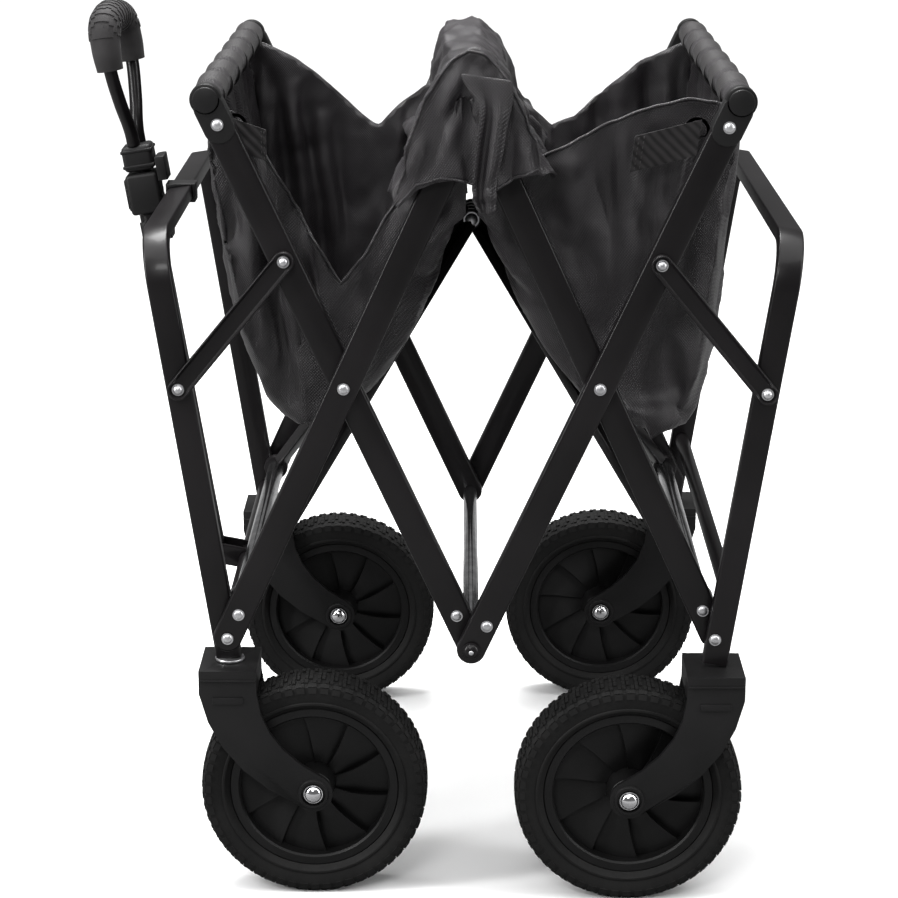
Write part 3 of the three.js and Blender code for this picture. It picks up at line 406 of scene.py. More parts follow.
def end_frame(end):
    toward = 1 if end == "front" else -1
    layer = END_MIDDLE[end]
    mesh = bmesh.new()
    wide, thick = 0.022, 0.012
    made = bmesh.ops.create_grid(mesh, x_segments=1, y_segments=1, size=0.5)["verts"]
    bmesh.ops.scale(mesh, verts=made, vec=(wide, thick, 1))
    bmesh.ops.bevel(mesh, geom=made, offset=0.002, segments=3, profile=0.5, affect="VERTICES", material=-1)
    top_z = END_RISE / math.cos(END_LEAN)
    face = list(mesh.faces)
    bmesh.ops.translate(mesh, verts=mesh.verts, vec=(0, -layer, 0))

    def run_on(faces, move):
        grown = bmesh.ops.extrude_face_region(mesh, geom=faces)["geom"]
        bmesh.ops.translate(mesh, verts=verts_in(grown), vec=move)
        bmesh.ops.delete(mesh, geom=[f for f in faces if f.is_valid], context="FACES_ONLY")
        return faces_in(grown)

    def bend_on(faces, centre):
        for step in range(12):
            grown = bmesh.ops.extrude_face_region(mesh, geom=faces)["geom"]
            bmesh.ops.rotate(mesh, verts=verts_in(grown),
                             cent=centre, matrix=Matrix.Rotation(-math.pi / 24, 3, "X"))
            bmesh.ops.delete(mesh, geom=[f for f in faces if f.is_valid], context="FACES_ONLY")
            faces = faces_in(grown)
        return faces

    bend_z = top_z - END_BEND
    tip = run_on(face, (0, 0, bend_z))
    tip = bend_on(tip, (0, -layer + END_BEND, bend_z))
    tip = run_on(tip, (0, 2 * layer - 2 * END_BEND, 0))
    tip = bend_on(tip, (0, layer - END_BEND, bend_z))
    tip = run_on(tip, (0, 0, -bend_z))
    bmesh.ops.rotate(mesh, verts=mesh.verts, matrix=Matrix.Rotation(-toward * END_LEAN, 3, "Y"))
    x, z = corner[end]
    bmesh.ops.translate(mesh, verts=mesh.verts, vec=(
        x + toward * (-FOOT_INSET + FOOT_DROP * math.tan(END_LEAN)), 0, z - FOOT_DROP))
    bar_up = WELDED_BAR_UP[end]
    round_bar(mesh, x + toward * (-FOOT_INSET - bar_up * math.tan(END_LEAN)), z + bar_up, 0.007,
              -layer + 0.004, layer - 0.004)
    return finish_piece(f"{end}_frame_tube", mesh, BLACK_STEEL, f"{end}_end",
                        (f"{end}_end_frame",), smooth_below=40)


end_frame("front")
end_frame("rear")


# The struts are pressed from strip with raised edges, so each is a shallow channel with round ends.
# A rivet through each end holds it to the rail arm and to the end frame's leg.
for end in ENDS:
    toward = 1 if end == "front" else -1
    leg_up = 0.223 * math.cos(END_LEAN)
    foot = (corner[end][0] - toward * (FOOT_INSET + leg_up * math.tan(END_LEAN)), corner[end][1] + leg_up)
    first = 0.238 if end == "front" else 0.251
    for side, out in SIDES:
        mesh = bmesh.new()
        y0, y1 = sorted((out * first, out * (first + 0.007)))
        stadium(mesh, foot, strut_top[end], 0.009, y0, y1, bevel=0.001, channel=0.003)
        finish_piece(f"{end}_strut_{side}_strip", mesh, BLACK_STEEL, f"{end}_strut_{side}",
                     (f"{end}_strut_{side}",))
        mesh = bmesh.new()
        for x, z in (foot, strut_top[end]):
            dome(mesh, (x, out * (first + 0.0040), z), 0.0044, 0.0040, out, 0.0009)
        finish_piece(f"{end}_strut_{side}_rivets", mesh, ZINC, f"{end}_strut_{side}")


# Four floor arms of thin rectangular tube run from the cross tubes to one hub, where their round eyes
# lie side by side on a bolt. HUB_PLACE gives each eye's middle across the wagon.
HUB_PLACE = {"front_near": -0.024, "rear_near": -0.008, "front_far": 0.008, "rear_far": 0.024}
floor_arm_lines = []
for end in ENDS:
    for side, out in SIDES:
        node = f"{end}_floor_arm_{side}"
        start = Vector((cross_tube[end][0], out * 0.205, cross_tube[end][1]))
        low, high = (Vector(c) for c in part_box(node))
        stop = Vector((KEEL.x, HUB_PLACE[f"{end}_{side}"], high.z - 0.009))
        floor_arm_lines.append((start, stop))
        mesh = bmesh.new()
        along = stop - start
        bar = bmesh.ops.create_cube(mesh, size=1)["verts"]
        bmesh.ops.scale(mesh, verts=bar, vec=(0.013, 0.010, along.length - 0.012))
        bmesh.ops.bevel(mesh, geom=list({e for v in bar for e in v.link_edges}), offset=0.0018, segments=3,
                        profile=0.5, affect="EDGES", material=-1)
        turn = along.to_track_quat("Z", "Y").to_matrix()
        bmesh.ops.rotate(mesh, verts=mesh.verts, matrix=turn)
        bmesh.ops.translate(mesh, verts=mesh.verts, vec=(start + stop) / 2 + along.normalized() * 0.005)
        round_bar(mesh, start.x, start.z, 0.012, start.y - 0.005, start.y + 0.005)
        round_bar(mesh, stop.x, stop.z, 0.009, stop.y - 0.005, stop.y + 0.005)
        finish_piece(f"{node}_bar", mesh, BLACK_STEEL, node, (node,))
        if (end, side) in (("front", "near"), ("rear", "far")):
            mesh = bmesh.new()
            dome(mesh, (stop.x, stop.y + out * 0.005, stop.z), 0.0062, 0.004, out, 0.0014)
            finish_piece(f"hub_bolt_{side}", mesh, ZINC, node)


# Moulded black plastic makes the rail caps, the forks, the clamp on the handle and the small clips.
# Its skin is finely grained and duller than the painted steel.
def moulded(name, low, high, rough, grain=700, depth=0.00012):
    finish, nodes, links, shader, place = start_finish(name, specular=0.28)
    broad = noise_layer(nodes, links, 14, 4, place)
    fine = noise_layer(nodes, links, grain, 3, place)
    links.new(ramp_between(nodes, links, broad, low, high), shader.inputs["Base Color"])
    links.new(spread(nodes, links, broad, rough - 0.06, rough + 0.08), shader.inputs["Roughness"])
    raise_surface(nodes, links, shader, fine, depth, 0.6)
    return finish


PLASTIC = moulded("moulded_plastic", (0.0035, 0.0035, 0.0036), (0.009, 0.0086, 0.009), 0.45)


def edged_copy(node, body, material, bevel):
    """The CAD node's own shape with its sharp edges rounded."""
    mesh = bmesh.new()
    mesh.from_mesh(frame["nodes"][node].data)
    bmesh.ops.remove_doubles(mesh, verts=mesh.verts, dist=1e-5)
    bmesh.ops.dissolve_limit(mesh, angle_limit=math.radians(2), verts=mesh.verts, edges=mesh.edges)
    edges = [e for e in mesh.edges if e.is_manifold and e.calc_length() > 0.003
             and e.calc_face_angle(0) > math.radians(38)]
    bmesh.ops.bevel(mesh, geom=edges, offset=bevel, segments=2, profile=0.5, affect="EDGES",
                    clamp_overlap=True, material=-1)
    return finish_piece(f"{node}_moulding", mesh, material, body, (node,))


for end in ENDS:
    layer = RAIL_ARM_LAYER[end]
    neck = between(keel_line, rail[end], 0.951)
    for side, out in SIDES:
        mesh = bmesh.new()
        y0, y1 = sorted((out * (layer[0] - 0.0008), out * (layer[1] + 0.0008)))
        stadium(mesh, neck, between(keel_line, rail[end], 0.985), 0.0133, y0, y1, bevel=0.0016)
        round_bar(mesh, rail[end][0], rail[end][1], 0.0132, y0, y1, sides=40, bevel=0.0014)
        round_bar(mesh, rail[end][0], rail[end][1], 0.0108, y0 - 0.0030, y1 + 0.0030, sides=40, bevel=0.0012)
        finish_piece(f"{end}_rail_cap_{side}_moulding", mesh, PLASTIC, f"{end}_rail_arms",
                     (f"{end}_rail_cap_{side}",))

for side in ("near", "far"):
    edged_copy(f"front_fork_{side}", f"front_caster_{side}", PLASTIC, 0.0016)
    edged_copy(f"rear_fork_{side}", "rear_end", PLASTIC, 0.0016)
    edged_copy(f"kingpin_{side}", "front_end", ZINC, 0.0006)


# Each fork plate carries a raised boss round the axle and two bars across the crown, all in one
# moulding with the plate. These are the parts that stand proud of it.
def fork_ribs(end, side, out):
    x = corner[end][0]
    axle = side_on(pivot[f"{end}_wheel_{side}_spin"])
    middle = out * END_MIDDLE[end]
    face = 0.031
    mesh = bmesh.new()
    for outward in (-1, 1):
        y = middle + outward * face
        ring = bmesh.ops.create_cone(mesh, cap_ends=False, segments=40, radius1=0.0138, radius2=0.0130,
                                     depth=0.003)["verts"]
        inner = bmesh.ops.extrude_edge_only(mesh, edges=[e for e in {e for v in ring for e in v.link_edges}
                                                         if all(v.co.z > 0.001 for v in e.verts)])["geom"]
        inner = verts_in(inner)
        bmesh.ops.scale(mesh, verts=inner, vec=(0.8, 0.8, 1))
        sunk = bmesh.ops.extrude_edge_only(mesh, edges=[e for e in {e for v in inner for e in v.link_edges}
                                                        if all(v in inner for v in e.verts)])["geom"]
        sunk = verts_in(sunk)
        bmesh.ops.translate(mesh, verts=sunk, vec=(0, 0, -0.003))
        verts = list(ring) + inner + sunk
        bmesh.ops.rotate(mesh, verts=verts, matrix=Matrix.Rotation(-outward * math.pi / 2, 3, "X"))
        bmesh.ops.translate(mesh, verts=verts, vec=(axle[0], y + outward * 0.001, axle[1]))
    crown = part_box(f"{end}_fork_{side}")[1][2]
    for rise, long, high in ((0.0085, 0.0485, 0.0016), (0.0270, 0.0270, 0.0062)):
        for outward in (-1, 1):
            bar = bmesh.ops.create_cube(mesh, size=1)["verts"]
            bmesh.ops.scale(mesh, verts=bar, vec=(long, 0.0022, high))
            bmesh.ops.translate(mesh, verts=bar, vec=(x, middle + outward * (face + 0.0006), crown - rise))
    bmesh.ops.bevel(mesh, geom=[e for e in mesh.edges if e.is_manifold and e.calc_face_angle(0) > 1.2],
                    offset=0.0006, segments=2, profile=0.5, affect="EDGES", clamp_overlap=True, material=-1)
    body = f"front_caster_{side}" if end == "front" else "rear_end"
    finish_piece(f"{end}_fork_{side}_ribs", mesh, PLASTIC, body)


for end in ENDS:
    for side, out in SIDES:
        fork_ribs(end, side, out)


# The tyres are solid black rubber with a zigzag block tread that runs over the shoulders. Each sits on
# a moulded rim with ten fan blades between the hub and the ring.
def rubber(name):
    finish, nodes, links, shader, place = start_finish(name, specular=0.25)
    broad = noise_layer(nodes, links, 22, 5, place)
    fine = noise_layer(nodes, links, 500, 3, place)
    links.new(ramp_between(nodes, links, broad, (0.003, 0.003, 0.003), (0.009, 0.0087, 0.0085)),
              shader.inputs["Base Color"])
    links.new(spread(nodes, links, fine, 0.62, 0.86), shader.inputs["Roughness"])
    raise_surface(nodes, links, shader, fine, 0.0002, 0.6)
    return finish


RUBBER = rubber("tyre_rubber")
RIM_PLASTIC = moulded("rim_plastic", (0.0025, 0.0025, 0.0025), (0.007, 0.0068, 0.007), 0.42, grain=500)
TREAD_STEPS = 168
half_tread = [(0.0745, -0.0165), (0.0772, -0.0195), (0.0790, -0.0212), (0.0806, -0.0212), (0.0814, -0.0203),
              (0.0850, -0.0212), (0.0905, -0.0220), (0.0955, -0.0210), (0.0976, -0.0175), (0.0982, -0.0095)]
tread_profile = [*half_tread, (0.0984, 0.0), *((r, -y) for r, y in reversed(half_tread))]


def spun(mesh, profile, steps):
    """Turns a closed outline of (radius, place across) round the axle."""
    verts = [mesh.verts.new((r, y, 0)) for r, y in profile]
    edges = [mesh.edges.new(pair) for pair in zip(verts, verts[1:])]
    edges.append(mesh.edges.new((verts[-1], verts[0])))
    bmesh.ops.spin(mesh, geom=verts + edges, cent=(0, 0, 0), axis=(0, 1, 0), angle=2 * math.pi,
                   steps=steps, use_merge=True)


def tyre(end, side, axle, middle):
    mesh = bmesh.new()
    spun(mesh, tread_profile, TREAD_STEPS)
    bmesh.ops.recalc_face_normals(mesh, faces=mesh.faces)
    blocks, lugs = [], []
    for face in mesh.faces:
        spot = face.calc_center_median()
        reach = math.hypot(spot.x, spot.z)
        step = int(round((math.atan2(spot.z, spot.x) / (2 * math.pi)) * TREAD_STEPS - 0.5))
        column = int((spot.y + 0.0200) // 0.0095) if reach > 0.0970 else None
        if column is not None and (step + (column if column < 2 else 3 - column)) % 3 != 0:
            blocks.append(face)
        elif 0.0925 < reach < 0.0970 and step % 3 != (0 if spot.y > 0 else 1):
            lugs.append(face)
    bmesh.ops.inset_individual(mesh, faces=blocks, thickness=0.0006, depth=0.0)
    for face in blocks:
        middle_point = face.calc_center_median()
        radial = Vector((middle_point.x, 0, middle_point.z)).normalized()
        grown = bmesh.ops.extrude_discrete_faces(mesh, faces=[face])["faces"][0]
        bmesh.ops.translate(mesh, verts=grown.verts, vec=radial * 0.0015)
    for face in lugs:
        normal = face.normal.copy()
        grown = bmesh.ops.extrude_discrete_faces(mesh, faces=[face])["faces"][0]
        bmesh.ops.translate(mesh, verts=grown.verts, vec=normal * 0.0009)
    bmesh.ops.translate(mesh, verts=mesh.verts, vec=(axle[0], middle, axle[1]))
    finish_piece(f"{end}_tyre_{side}_tread", mesh, RUBBER, f"{end}_wheel_{side}",
                 (f"{end}_tyre_{side}",), smooth_below=30)


def rim(end, side, axle, middle):
    mesh = bmesh.new()
    ring = [(0.0655, -0.006), (0.0655, -0.0150), (0.0670, -0.0168), (0.0735, -0.0168), (0.0750, -0.0150)]
    hub = [(0.0053, -0.0228), (0.0140, -0.0228), (0.0158, -0.0212), (0.0172, -0.0105), (0.0190, -0.003)]
    disc = [(0.0170, -0.0016), (0.0665, -0.0016)]
    for half, steps in ((ring, 96), (hub, 48), (disc, 96)):
        spun(mesh, half + [(r, -y) for r, y in reversed(half)], steps)
    blades = 10
    for outward in (-1, 1):
        for blade in range(blades):
            quad = bmesh.ops.create_grid(mesh, x_segments=6, y_segments=4, size=0.5)["verts"]
            bmesh.ops.scale(mesh, verts=quad, vec=(0.050, 1, 1))
            bmesh.ops.translate(mesh, verts=quad, vec=(0.0415, 0, 0))
            for v in quad:
                reach = v.co.x
                turn = v.co.y * 2 * math.pi / blades * 0.96 + (reach - 0.0165) * 3.2
                lift = outward * (0.0025 + 0.0060 * (v.co.y + 0.5) * min(1, (reach - 0.012) / 0.02))
                v.co = Vector((reach * math.cos(turn), lift, reach * math.sin(turn)))
            bmesh.ops.rotate(mesh, verts=quad, matrix=Matrix.Rotation(2 * math.pi * blade / blades, 3, "Y"))
            faces = list({f for v in quad for f in v.link_faces})
            grown = bmesh.ops.extrude_face_region(mesh, geom=faces)["geom"]
            bmesh.ops.translate(mesh, verts=verts_in(grown),
                                vec=(0, -outward * 0.002, 0))
    bmesh.ops.translate(mesh, verts=mesh.verts, vec=(axle[0], middle, axle[1]))
    finish_piece(f"{end}_rim_{side}_fan", mesh, RIM_PLASTIC, f"{end}_wheel_{side}",
                 (f"{end}_rim_{side}",), smooth_below=30)


def axle_bolt(end, side, axle, middle):
    mesh = bmesh.new()
    round_bar(mesh, axle[0], axle[1], 0.005, middle - 0.0325, middle + 0.0325)
    for outward in (-1, 1):
        dome(mesh, (axle[0], middle + outward * 0.0315, axle[1]), 0.0080, 0.0058, outward, 0.0006)
    body = f"front_caster_{side}" if end == "front" else "rear_end"
    finish_piece(f"{end}_axle_{side}_cap", mesh, CHROME, body, (f"{end}_axle_{side}",))


for end in ENDS:
    for side, out in SIDES:
        hub_place = side_on(pivot[f"{end}_wheel_{side}_spin"])
        middle = out * END_MIDDLE[end]
        tyre(end, side, hub_place, middle)
        rim(end, side, hub_place, middle)
        axle_bolt(end, side, hub_place, middle)


# The pull handle is a round steel tube with a sliding stem, a moulded clamp with its lever, a bent
# loop and a ribbed foam grip. A yoke holds its foot and a snap clip holds it to the crossbar.
handle_up = Vector(next(j["axis"] for j in frame["joints"] if j["name"] == "handle_slide")).normalized()
handle_foot = pivot["handle_fold"]
handle_across = Vector((0, 1, 0))
handle_out = handle_across.cross(handle_up).normalized()
handle_frame = Matrix((handle_out, handle_across, handle_up)).transposed()


def on_handle(mesh, verts):
    bmesh.ops.rotate(mesh, verts=verts, matrix=handle_frame)
    bmesh.ops.translate(mesh, verts=verts, vec=handle_foot)


def upright(mesh, radius, low, high):
    """A round bar along the handle from low to high."""
    verts = rod(mesh, radius, high - low, 40, 0.0008)
    bmesh.ops.translate(mesh, verts=verts, vec=(0, 0, (low + high) / 2))
    return verts


def chunk(mesh, low, high, bevel=0.002):
    made = bmesh.ops.create_cube(mesh, size=1)["verts"]
    bmesh.ops.scale(mesh, verts=made, vec=[b - a for a, b in zip(low, high)])
    bmesh.ops.translate(mesh, verts=made, vec=[(a + b) / 2 for a, b in zip(low, high)])
    done = bmesh.ops.bevel(mesh, geom=list({e for v in made for e in v.link_edges}), offset=bevel, segments=3,
                           profile=0.5, affect="EDGES", material=-1)
    return list({v for v in made if v.is_valid} | set(done["verts"]))


mesh = bmesh.new()
on_handle(mesh, upright(mesh, 0.010, -0.010, 0.3695))
finish_piece("handle_outer_tube_skin", mesh, BLACK_STEEL, "handle_outer",
             ("handle_outer_tube",))

mesh = bmesh.new()
verts = chunk(mesh, (-0.015, -0.015, 0.332), (0.015, 0.015, 0.370), 0.0035)
for rise in (0.337, 0.343, 0.349, 0.355):
    verts += chunk(mesh, (-0.0158, -0.0135, rise), (0.0150, 0.0135, rise + 0.003), 0.0008)
verts += chunk(mesh, (-0.0175, -0.009, 0.3375), (-0.012, 0.009, 0.3655), 0.0015)
on_handle(mesh, verts)
finish_piece("handle_clamp_body", mesh, PLASTIC, "handle_outer", ("handle_clamp",))
edged_copy("clamp_lever", "clamp_lever", PLASTIC, 0.0014)
edged_copy("crossbar_clip", "front_end", PLASTIC, 0.0008)
edged_copy("handle_yoke", "front_end", BLACK_STEEL, 0.0007)

mesh = bmesh.new()
verts = upright(mesh, 0.0076, 0.110, 0.373)
verts += chunk(mesh, (-0.014, -0.014, 0.372), (0.014, 0.014, 0.396), 0.004)
verts += chunk(mesh, (-0.0147, -0.0147, 0.3755), (0.0147, 0.0147, 0.3785), 0.001)
verts += chunk(mesh, (-0.0147, -0.0147, 0.3895), (0.0147, 0.0147, 0.3925), 0.001)
on_handle(mesh, verts)
finish_piece("handle_stem_collar", mesh, PLASTIC, "handle_inner", ("handle_stem",))

grip_twist = math.radians(-10)
COLLAR_TOP, LOOP_TOP, LOOP_HALF, GRIP_FOOT = 0.396, 0.514, 0.033, 0.468


def curve_mesh(line):
    """The mesh of a curve."""
    drawn = bpy.data.objects.new(line.name, line)
    bpy.context.scene.collection.objects.link(drawn)
    bpy.context.view_layer.update()
    mesh = bmesh.new()
    mesh.from_mesh(drawn.evaluated_get(bpy.context.evaluated_depsgraph_get()).to_mesh())
    bpy.data.objects.remove(drawn)
    return mesh


def loop_curve(name, radius, half_points, thickness_at=None):
    """A round tube through points given as (across, up) on one half, mirrored over the top."""
    line = bpy.data.curves.new(name, "CURVE")
    line.dimensions = "3D"
    line.bevel_depth = radius
    line.bevel_resolution = 8
    line.use_fill_caps = True
    points = half_points + [(-y, z) for y, z in reversed(half_points) if y > 1e-6]
    spline = line.splines.new("BEZIER")
    spline.bezier_points.add(len(points) - 1)
    spline.resolution_u = 10
    for k, (bezier, (y, z)) in enumerate(zip(spline.bezier_points, points)):
        bezier.co = (0, y, z)
        bezier.handle_left_type = bezier.handle_right_type = "AUTO"
        if thickness_at:
            bezier.radius = thickness_at(k, len(points))
    mesh = curve_mesh(line)
    bmesh.ops.rotate(mesh, verts=mesh.verts, matrix=Matrix.Rotation(grip_twist, 3, "Z"))
    return mesh


bend = LOOP_HALF * 0.8
half_loop = [(0.009, COLLAR_TOP + 0.0003), (0.010, COLLAR_TOP + 0.012),
             (LOOP_HALF * 0.72, (COLLAR_TOP + GRIP_FOOT) / 2 + 0.006), (LOOP_HALF, GRIP_FOOT),
             (LOOP_HALF, LOOP_TOP - bend), (LOOP_HALF * 0.78, LOOP_TOP - bend * 0.28), (0, LOOP_TOP)]
mesh = loop_curve("loop_line", 0.006, half_loop)
on_handle(mesh, mesh.verts)
finish_piece("handle_loop_tube", mesh, BLACK_STEEL, "handle_inner", ("handle_loop",))


def foam(name):
    finish, nodes, links, shader, place = start_finish(name, sheen=0.06, specular=0.3)
    shader.inputs["Sheen Roughness"].default_value = 0.5
    broad = noise_layer(nodes, links, 30, 4, place)
    fine = noise_layer(nodes, links, 1400, 2, place)
    links.new(ramp_between(nodes, links, broad, (0.012, 0.011, 0.0115), (0.030, 0.028, 0.029)),
              shader.inputs["Base Color"])
    links.new(spread(nodes, links, fine, 0.62, 0.85), shader.inputs["Roughness"])
    raise_surface(nodes, links, shader, fine, 0.00025, 0.8)
    return finish


FOAM = foam("grip_foam")
half_grip = [(LOOP_HALF + 0.0002, GRIP_FOOT + 0.001), (LOOP_HALF, LOOP_TOP - bend),
             (LOOP_HALF * 0.78, LOOP_TOP - bend * 0.28), (LOOP_HALF * 0.4, LOOP_TOP - 0.0015), (0, LOOP_TOP)]
mesh = loop_curve("grip_line", 0.0142, half_grip,
                  lambda k, n: (0.84, 0.93, 0.99, 1.0, 1.02, 1.0, 0.99, 0.93, 0.84)[k])
rings = [f for f in mesh.faces if len(f.verts) == 4]
ribbed = [f for f in rings if int((f.calc_center_median().y + 0.05) / 0.0032) % 2 == 0
          and f.calc_center_median().z > LOOP_TOP - 0.016]
bmesh.ops.inset_region(mesh, faces=ribbed, thickness=0.0003, depth=0.0009)
on_handle(mesh, mesh.verts)
finish_piece("handle_grip_foam", mesh, FOAM, "handle_inner", ("handle_grip",), smooth_below=45)


# The basket is black woven polyester, one soft bag that hangs from the two top rails. Half folded, it
# makes a deep lobe at each end and is pushed up into a ridge over the middle. Each lobe starts as a
# flat-sided pocket, cut a little too large, and is then let down under its own weight.
def cloth_finish(name, low, high, rough):
    finish, nodes, links, shader, place = start_finish(name, sheen=0.04, specular=0.48)
    shader.inputs["Sheen Roughness"].default_value = 0.35
    broad = noise_layer(nodes, links, 7, 5, place)
    threads = []
    for turn in (0.72, -0.72):
        mapping = nodes.new("ShaderNodeMapping")
        mapping.inputs["Rotation"].default_value = (0.35, turn, 0.2)
        links.new(place, mapping.inputs["Vector"])
        thread = nodes.new("ShaderNodeTexWave")
        thread.inputs["Scale"].default_value = 190
        thread.inputs["Distortion"].default_value = 0.6
        thread.inputs["Detail"].default_value = 1
        links.new(mapping.outputs["Vector"], thread.inputs["Vector"])
        threads.append(thread.outputs["Fac"])
    weave = nodes.new("ShaderNodeMath")
    weave.operation = "MULTIPLY"
    links.new(threads[0], weave.inputs[0])
    links.new(threads[1], weave.inputs[1])
    woven = weave.outputs["Value"]
    grain = add_share(nodes, links, noise_layer(nodes, links, 650, 2, place), 0.75, broad)
    shade = add_share(nodes, links, woven, 0.5, grain)
    crumple = add_share(nodes, links, noise_layer(nodes, links, 34, 3, place), 5.0, woven)
    links.new(ramp_between(nodes, links, shade, low, high, (0.62, 1.32)), shader.inputs["Base Color"])
    links.new(spread(nodes, links, broad, rough - 0.06, rough + 0.08), shader.inputs["Roughness"])
    raise_surface(nodes, links, shader, crumple, 0.00045, 0.8)
    return finish


CLOTH = cloth_finish("woven_polyester", (0.0042, 0.0037, 0.0042), (0.0215, 0.0192, 0.0214), 0.40)
CLOTH_CELL, RIDGE_CELL = 0.0095, 0.0085
CLOTH_STIFFNESS = 12.0


def keep_shape(piece, modifier):
    """Writes a modifier's result into the piece's own mesh."""
    shaped = bpy.data.meshes.new_from_object(
        piece.evaluated_get(bpy.context.evaluated_depsgraph_get()))
    piece.modifiers.remove(modifier)
    piece.vertex_groups.clear()
    old = piece.data
    piece.data = shaped
    bpy.data.meshes.remove(old)


def settle(piece, pinned, grow, frames):
    """Lets the cloth down under its own weight. pinned gives each vertex's hold, from 0 to 1."""
    group = piece.vertex_groups.new(name="held")
    for vertex in piece.data.vertices:
        hold = pinned(vertex.co)
        if hold > 0:
            group.add([vertex.index], hold, "REPLACE")
    cloth = piece.modifiers.new("drape", "CLOTH")
    cloth.settings.quality = 6
    cloth.settings.mass = 0.3
    cloth.settings.tension_stiffness = cloth.settings.compression_stiffness = CLOTH_STIFFNESS
    cloth.settings.shear_stiffness = CLOTH_STIFFNESS * 0.5
    cloth.settings.bending_stiffness = 0.4
    cloth.settings.vertex_group_mass = "held"
    cloth.settings.shrink_min = -grow
    cloth.settings.effector_weights.gravity = 1.0
    cloth.collision_settings.use_collision = False
    cloth.point_cache.frame_start, cloth.point_cache.frame_end = 1, frames
    scene = bpy.context.scene
    for step in range(1, frames + 1):
        scene.frame_set(step)
    keep_shape(piece, cloth)
    scene.frame_set(1)


def refine(piece):
    """Halves every cell of the settled cloth, with smooth curves between."""
    softer = piece.modifiers.new("refine", "SUBSURF")
    softer.levels = softer.render_levels = 1
    keep_shape(piece, softer)


def dress(piece):
    piece.data.polygons.foreach_set("use_smooth", [True] * len(piece.data.polygons))
    piece.data.materials.append(CLOTH)
    bpy.context.view_layer.update()


def thicken(piece):
    piece.modifiers.new("cloth_thickness", "SOLIDIFY").thickness = 0.0012


def crease(piece, folds, crumple=0.0022, keep=lambda co: 1.0):
    """Presses folds into the cloth. folds: (start, end, half width, height), raised along the normals
    with a hollow on each side. crumple adds sharp irregular wrinkles, and keep weighs both by place."""
    bpy.context.view_layer.update()
    normals = [v.normal.copy() for v in piece.data.vertices]
    for vertex, normal in zip(piece.data.vertices, normals):
        co, lift = vertex.co.copy(), 0.0
        for start, end, wide, high in folds:
            along = end - start
            share = (co - start).dot(along) / along.length_squared
            if -0.05 < share < 1.05:
                off = (co - start - along * share).length / wide
                off *= 1 + 0.25 * math.sin(share * 9 + high * 4000)
                if off < 3:
                    taper = math.sin(math.pi * min(1, max(0, share * 0.9 + 0.05))) ** 0.6
                    lift += high * taper * (1 - 1.5 * off * off) * math.exp(-off * off)
        broken = 1 - abs(noise.noise(Vector((co.x * 24, co.y * 17, co.z * 11)))) * 3.2
        small = 1 - abs(noise.noise(Vector((co.x * 41 + 5, co.y * 37, co.z * 29)))) * 3.2
        lift += crumple * (max(0.0, broken) ** 2 - 0.3) + crumple * 0.5 * (max(0.0, small) ** 2 - 0.3)
        vertex.co = co + normal * lift * keep(co)


def seam_tube(name, piece, points, radius, lift=0.0004):
    """A round hem that lies on the cloth along the points given."""
    line = bpy.data.curves.new(name, "CURVE")
    line.dimensions = "3D"
    line.bevel_depth = radius
    line.bevel_resolution = 3
    spline = line.splines.new("POLY")
    places = []
    for a, b in zip(points, points[1:]):
        for k in range(8):
            found, place, normal, _ = piece.closest_point_on_mesh(a + (b - a) * k / 8)
            if not places or (place - places[-1]).length > 0.0015:
                places.append(place + normal * lift)
    spline.points.add(len(places) - 1)
    for point, place in zip(spline.points, places):
        point.co = (*place, 1)
    mesh = curve_mesh(line)
    return finish_piece(name, mesh, CLOTH, None, smooth_below=70)


def sheet_of(name, mesh):
    piece = bpy.data.objects.new(name, bpy.data.meshes.new(name))
    mesh.to_mesh(piece.data)
    mesh.free()
    bpy.context.scene.collection.objects.link(piece)
    return piece


def cut_up(mesh, cell):
    """Cuts a few large faces into small even ones along the three axes."""
    bmesh.ops.triangulate(mesh, faces=[f for f in mesh.faces if len(f.verts) > 4])
    for axis in range(3):
        places = [v.co[axis] for v in mesh.verts]
        low, high = min(places), max(places)
        count = max(1, round((high - low) / cell))
        normal = Vector([1.0 if k == axis else 0.0 for k in range(3)])
        for k in range(1, count):
            bmesh.ops.bisect_plane(mesh, geom=mesh.verts[:] + mesh.edges[:] + mesh.faces[:],
                                   plane_co=normal * (low + (high - low) * k / count), plane_no=normal,
                                   dist=0.0008)
    bmesh.ops.remove_doubles(mesh, verts=mesh.verts, dist=0.0015)


def near_line(co, a, b):
    """Distance in the lengthwise plane from a point to the stretch from a to b, given as (x, z)."""
    px, pz = co.x - a[0], co.z - a[1]
    dx, dz = b[0] - a[0], b[1] - a[1]
    share = max(0.0, min(1.0, (px * dx + pz * dz) / (dx * dx + dz * dz)))
    return math.hypot(px - share * dx, pz - share * dz)


def local(points):
    return [(KEEL.x + x / 1000, KEEL.z + z / 1000) for x, z in points]


